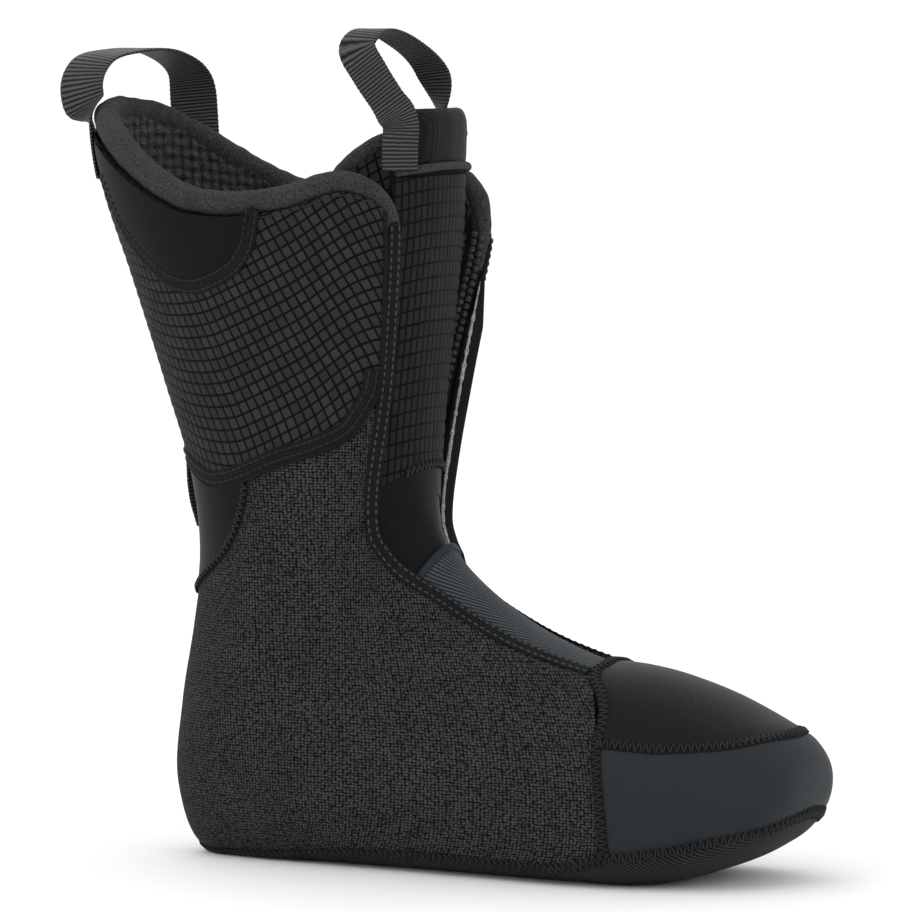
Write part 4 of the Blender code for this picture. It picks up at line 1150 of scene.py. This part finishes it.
way, side = patch(60, 60, steady(GUSSET_TOP - 4), steady(TONGUE_LOW + 2), *both_edges(.004))
throat = piece_from_grid("throat_stretch", on_form(way, side, 3.4 * MM))
applied(throat, "SOLIDIFY", thickness=1.0 * MM, offset=-1)
throat.data.materials.append(STRETCH)
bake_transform(throat)
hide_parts("throat_stretch_panel")


# --- Tongue: padded foam with a ribbed ripstop front ---------------------------------------------------
# A foam tongue hangs inside the two flaps. Its front is ripstop quilted in short ribs, its top a crowned
# pad with a twill cap, bound with a knitted cord, and two brushed ears reach round the shin.

TONGUE_THICK = 9.0          # in millimetres
RING_POINTS = 121           # points round the tongue's section
TONGUE_TOP, TONGUE_RIBS_LOW, TONGUE_RIBS_HIGH = 488, 300, 460   # ways up its front


def tongue_face(way):
    """The depth of the tongue's front face, in metres: it leans back towards its top."""
    return (3.0 + 6.0 * np.clip((way - 370) / 122, 0, 1) ** 1.4) * MM


def tongue_edge(way):
    """Half the tongue's width, as a side."""
    return np.minimum(front_edge(way) + .002, .190)


def tongue_ring(name, low, high, top_round, grow, rows=90):
    """A closed padded length of the tongue: a rounded rectangle at each height, closed at both ends."""
    t = np.linspace(0, 1, rows)
    way = low + (high - low) * t
    turn = np.linspace(0, 2 * math.pi, RING_POINTS)
    x = np.sign(np.cos(turn)) * np.abs(np.cos(turn)) ** .36
    y = np.sign(np.sin(turn)) * np.abs(np.sin(turn)) ** .55
    over = np.clip((way - (high - top_round)) / top_round, 0, 1)
    under = np.clip(1 - (way - low) / 3, 0, 1)
    slim = np.sqrt(np.clip(1 - over**2, 0, 1)) * np.sqrt(np.clip(1 - under**2, 0, 1))
    wide = tongue_edge(way) + grow * .006
    side = (wide * (.80 + .20 * np.sqrt(np.clip(1 - over**2, 0, 1))))[:, None] * x[None]
    half = (TONGUE_THICK / 2 + grow) * np.maximum(slim, .02)
    depth = tongue_face(way)[:, None] + (TONGUE_THICK / 2 - half[:, None] * y[None]) * MM
    points = on_form(way[:, None], side, depth)
    obj = piece_from_grid(name, points[:, ::-1], wrap=True)
    bpy.ops.object.mode_set(mode="EDIT")
    bpy.ops.mesh.select_all(action="DESELECT")
    bpy.ops.mesh.select_non_manifold()
    bpy.ops.mesh.fill_holes(sides=0)
    bpy.ops.mesh.select_all(action="SELECT")
    bpy.ops.mesh.normals_make_consistent(inside=False)
    bpy.ops.object.mode_set(mode="OBJECT")
    return obj


def places(piece):
    """The places of a piece's vertices."""
    found = np.empty(len(piece.data.vertices) * 3)
    piece.data.vertices.foreach_get("co", found)
    return found.reshape(-1, 3)


def inflated(piece, voxel, reach):
    """Fills a closed pad from inside with a cloth simulation; no point moves further than reach (mm)."""
    applied(piece, "REMESH", mode="VOXEL", voxel_size=voxel * MM)
    piece.data.shade_smooth()
    sewn = places(piece)
    filling = piece.modifiers.new("filling", "CLOTH")
    filling.settings.use_pressure = True
    filling.settings.uniform_pressure_force = 4
    filling.settings.effector_weights.gravity = 0
    filling.point_cache.frame_end = 20
    for moment in range(1, 21):
        bpy.context.scene.frame_set(moment)
    bpy.ops.object.modifier_apply(modifier="filling")
    bpy.context.scene.frame_set(1)
    move = places(piece) - sewn
    far = np.linalg.norm(move, axis=1, keepdims=True)
    kept = np.minimum(1, reach * MM / np.maximum(far, 1e-9))
    piece.data.vertices.foreach_set("co", (sewn + move * kept).ravel())
    piece.data.update()
    applied(piece, "SUBSURF", levels=1, render_levels=1)


core = tongue_ring("tongue_foam_core", TONGUE_LOW + 1, 470, 3, -.6, rows=120)
finished(core, FOAM, "foam", "tongue", "tongue_foam")

# Fine twill: blue-black and smooth, so the padding under it shows as a soft highlight.
CROWN = cloth_finish("tongue_twill", "#030406", "#0e1215", .55, .01, twill(30, 1.0), .10,
                     coordinates="Object")
crown = tongue_ring("tongue_crown", 462, TONGUE_TOP + 6, 10, .3)
inflated(crown, 2.4, 2.2)
finished(crown, CROWN, "stretch_fabric", "tongue", "tongue_cover")

# Ripstop quilted in short ribs: each rib catches the light along its top.
RIB_WIDE, RIB_TALL = 3.4, 6.1       # the quilted cells of the tongue's front, in millimetres
TONGUE_CLOTH = ripstop("tongue_ripstop", RIB_WIDE, RIB_TALL, 0, "#010102", "#232527", sheen=.01)
way, side = patch(210, 90, steady(TONGUE_RIBS_LOW), steady(TONGUE_RIBS_HIGH), *both_edges(0, tongue_edge))
u, v = measured(on_form(way, side, tongue_face(way)))
rib = (np.abs(np.sin(math.pi * v / RIB_TALL)) ** .22
       * (.8 + .2 * np.abs(np.sin(math.pi * u / RIB_WIDE)) ** .3))
front = piece_from_grid("tongue_rib_front", on_form(way, side, tongue_face(way) + (.5 - .95 * rib) * MM),
                        uv=np.stack([u, v], 2) * 0.001)
finished(front, TONGUE_CLOTH, "ripstop", "tongue", "tongue_rib_panel", thick=.8)
side = np.linspace(-.11, .11, 80)
zigzag_seam("tongue_rib_seam", "tongue", np.full(80, TONGUE_RIBS_LOW + .5), side, wide=3.0, rise=1.05,
            depth=tongue_face(TONGUE_RIBS_LOW) - .2 * MM, ridge=1.4)

way, side = patch(30, 60, steady(TONGUE_LOW + .5), steady(TONGUE_RIBS_LOW), *both_edges(.002, tongue_edge))
lower = piece_from_grid("tongue_smooth_panel", on_form(way, side, tongue_face(way) - .2 * MM))
finished(lower, STRETCH, "stretch_fabric", "tongue", "tongue_lower_panel", thick=.7)

way, side = patch(150, 70, steady(330), steady(484), *both_edges(0, tongue_edge))
base = tongue_face(way) + (TONGUE_THICK - .4) * MM
u, v = measured(on_form(way, side, base))
back_lining = piece_from_grid("tongue_back_lining", on_form(way, side, base + MM * honeycomb(u, v)),
                              uv=np.stack([u, v], 2) * 0.001)
applied(back_lining, "SOLIDIFY", thickness=.5 * MM, offset=1)
finished(back_lining, LINING, "lining", "tongue", "tongue_lining")

side = np.linspace(-.172, .172, 90)
way = 463 + 2.0 * np.cos(side / .172 * math.pi / 2)
line = route(way, side, tongue_face(way) - 1.0 * MM)
cord = swept("tongue_knit_binding", line, 3.4, 3.4, corner=2.0, swell=lumps(len(line[0]), .05))
finished(cord, FLEECE, "fleece", "tongue", "tongue_binding")

WING_TOP = [(.10, 481), (.16, 480), (.22, 475), (.27, 468), (.31, 458)]


def wing_depth(side):
    """The wing's front face: level with the tongue beside the crown, then inside the flap."""
    return (8.6 + 5.4 * eased(np.abs(side), .13, .21)) * MM


for name, sign in NAMES:
    way, side = patch(46, 60, steady(436), lambda s: curve_at(s, WING_TOP), steady(.12), steady(.308), sign)
    wing = piece_from_grid("tongue_wing_" + name, on_form(way, side, wing_depth(side)))
    finished(wing, CUFF_CLOTH, "ripstop", "tongue", thick=4.0)
    side = sign * np.linspace(.11, .308, 80)
    line = route(curve_at(np.abs(side), WING_TOP), side, wing_depth(side) + 1.6 * MM, smooth=10)
    ear = swept("tongue_ear_" + name, line, 6.4, 6.4, corner=2.0, swell=lumps(len(line[0]), .06)
                * np.interp(np.linspace(0, 1, len(line[0])), [0, .1, .9, 1], [.7, 1, .95, .6]))
    finished(ear, FLEECE, "fleece", "tongue")


# --- Pull loops: webbing to pull the boot on with -------------------------------------------------------
# One loop of 20 mm webbing is sewn to both sides of the rear collar, and one of 16 mm over the tongue.
# Each lies flat where it is sewn and turns edge-on over its top.

def strap_foot(ways, side, depth):
    """Points where an end of a strap lies flat on the boot, and the way its width lies there."""
    way, side = np.array(ways, float), np.full(len(ways), side)
    return on_form(way, side, depth(way)), on_form(way, side + .01) - on_form(way, side - .01)


def strap_loop(near, far, arch, rise):
    """A loop's path from one foot to the other, and its width's direction, which turns over the top."""
    (start, start_across), (end, end_across) = near, far
    span = end[0] - start[-1]
    top = [start[-1] + span * share + np.array((back, 0, up * rise)) * MM for share, back, up in arch]
    path = np.array([*start, *top, *end])
    across = unit(np.concatenate([start_across, np.tile((1.0, 0, 0), (len(arch), 1)), -end_across]))
    across[:len(start)] *= np.sign(across[0, 0])
    across[-len(end):] *= np.sign(across[-1, 0])
    knots = run_along(path)
    fine = np.linspace(0, knots[-1], 300)
    return hermite(fine, knots, path, np.gradient(path, knots, axis=0)), *read_at(fine, knots, across)


near = strap_foot((468, 475, 482, 489), -.905, steady(-1.2 * MM))
far = strap_foot((492, 480, 468, 456), .80, steady(-3.1 * MM))
arch = [(.0, -3, .22), (.03, -6, .52), (.16, -8, .84), (.42, -5, .98), (.72, -1, .90), (.94, 0, .58)]
rear_loop = webbing("rear_webbing_loop", *strap_loop(near, far, arch, 28), 20, 1.5)
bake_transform(rear_loop)
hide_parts("rear_pull_loop")

near = strap_foot((464, 472, 480, 487), -.165, lambda w: tongue_face(w) - 2.4 * MM)
far = strap_foot((487, 480, 473), .125, lambda w: tongue_face(w) + (TONGUE_THICK + 1.6) * MM)
arch = [(-.02, -5, .28), (-.02, -14, .70), (.04, -21, 1.06), (.20, -19, 1.24), (.62, -8, 1.02),
        (.92, -2, .60)]
tongue_loop = webbing("tongue_webbing_loop", *strap_loop(near, far, arch, 30), 16, 1.5)
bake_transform(tongue_loop)
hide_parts("tongue_pull_loop")


# --- Floor, light and camera ---------------------------------------------------------------------------
# A pale floor with a soft studio light from both sides, and the camera level with the ankle, in front
# and to the outer side of the boot.

bpy.ops.object.select_all(action="DESELECT")
bpy.ops.mesh.primitive_plane_add(size=6, location=(0, 0, cad_box[0][2] - .0004))
floor = bpy.context.object
floor.name = "floor"
paper = bpy.data.materials.new("white_paper")
paper.use_nodes = True
paper_face = paper.node_tree.nodes["Principled BSDF"].inputs
paper_face["Base Color"].default_value = shade("#fcfcfc")
paper_face["Roughness"].default_value = .9
floor.data.materials.append(paper)

world = bpy.data.worlds.new("studio")
bpy.context.scene.world = world
world.use_nodes = True
sky = world.node_tree.nodes["Background"].inputs
sky["Color"].default_value = shade("#ffffff")
sky["Strength"].default_value = 1.06
bpy.context.scene.view_settings.view_transform = "Standard"

for label, place, size, watts in (("key", (-.5, -1.6, 1.5), 1.2, 5), ("fill", (1.7, -.4, .9), 1.0, 3),
                                  ("back", (-.9, 1.2, 1.3), 1.0, 4)):
    lamp = bpy.data.lights.new(label, "AREA")
    lamp.energy, lamp.size = watts, size
    lamp_object = bpy.data.objects.new(label, lamp)
    bpy.context.collection.objects.link(lamp_object)
    lamp_object.location = place
    aim = np.array((0, 0, .16)) - np.array(place)
    lamp_object.rotation_euler = (math.atan2(math.hypot(aim[0], aim[1]), -aim[2]), 0,
                                  math.atan2(aim[1], aim[0]) - math.pi / 2)

VIEW_TURN, VIEW_RISE, VIEW_DISTANCE = math.radians(26), math.radians(4), 2.8
aim = np.array((.042, .021, .168))
back = np.array((math.sin(VIEW_TURN) * math.cos(VIEW_RISE), -math.cos(VIEW_TURN) * math.cos(VIEW_RISE),
                 math.sin(VIEW_RISE)))
camera = bpy.data.cameras.new("camera")
camera.lens, camera.sensor_width = 265, 36
camera_object = bpy.data.objects.new("camera", camera)
bpy.context.collection.objects.link(camera_object)
camera_object.location = aim + back * VIEW_DISTANCE
camera_object.rotation_euler = (math.pi / 2 - VIEW_RISE, 0, VIEW_TURN)
bpy.context.scene.camera = camera_object
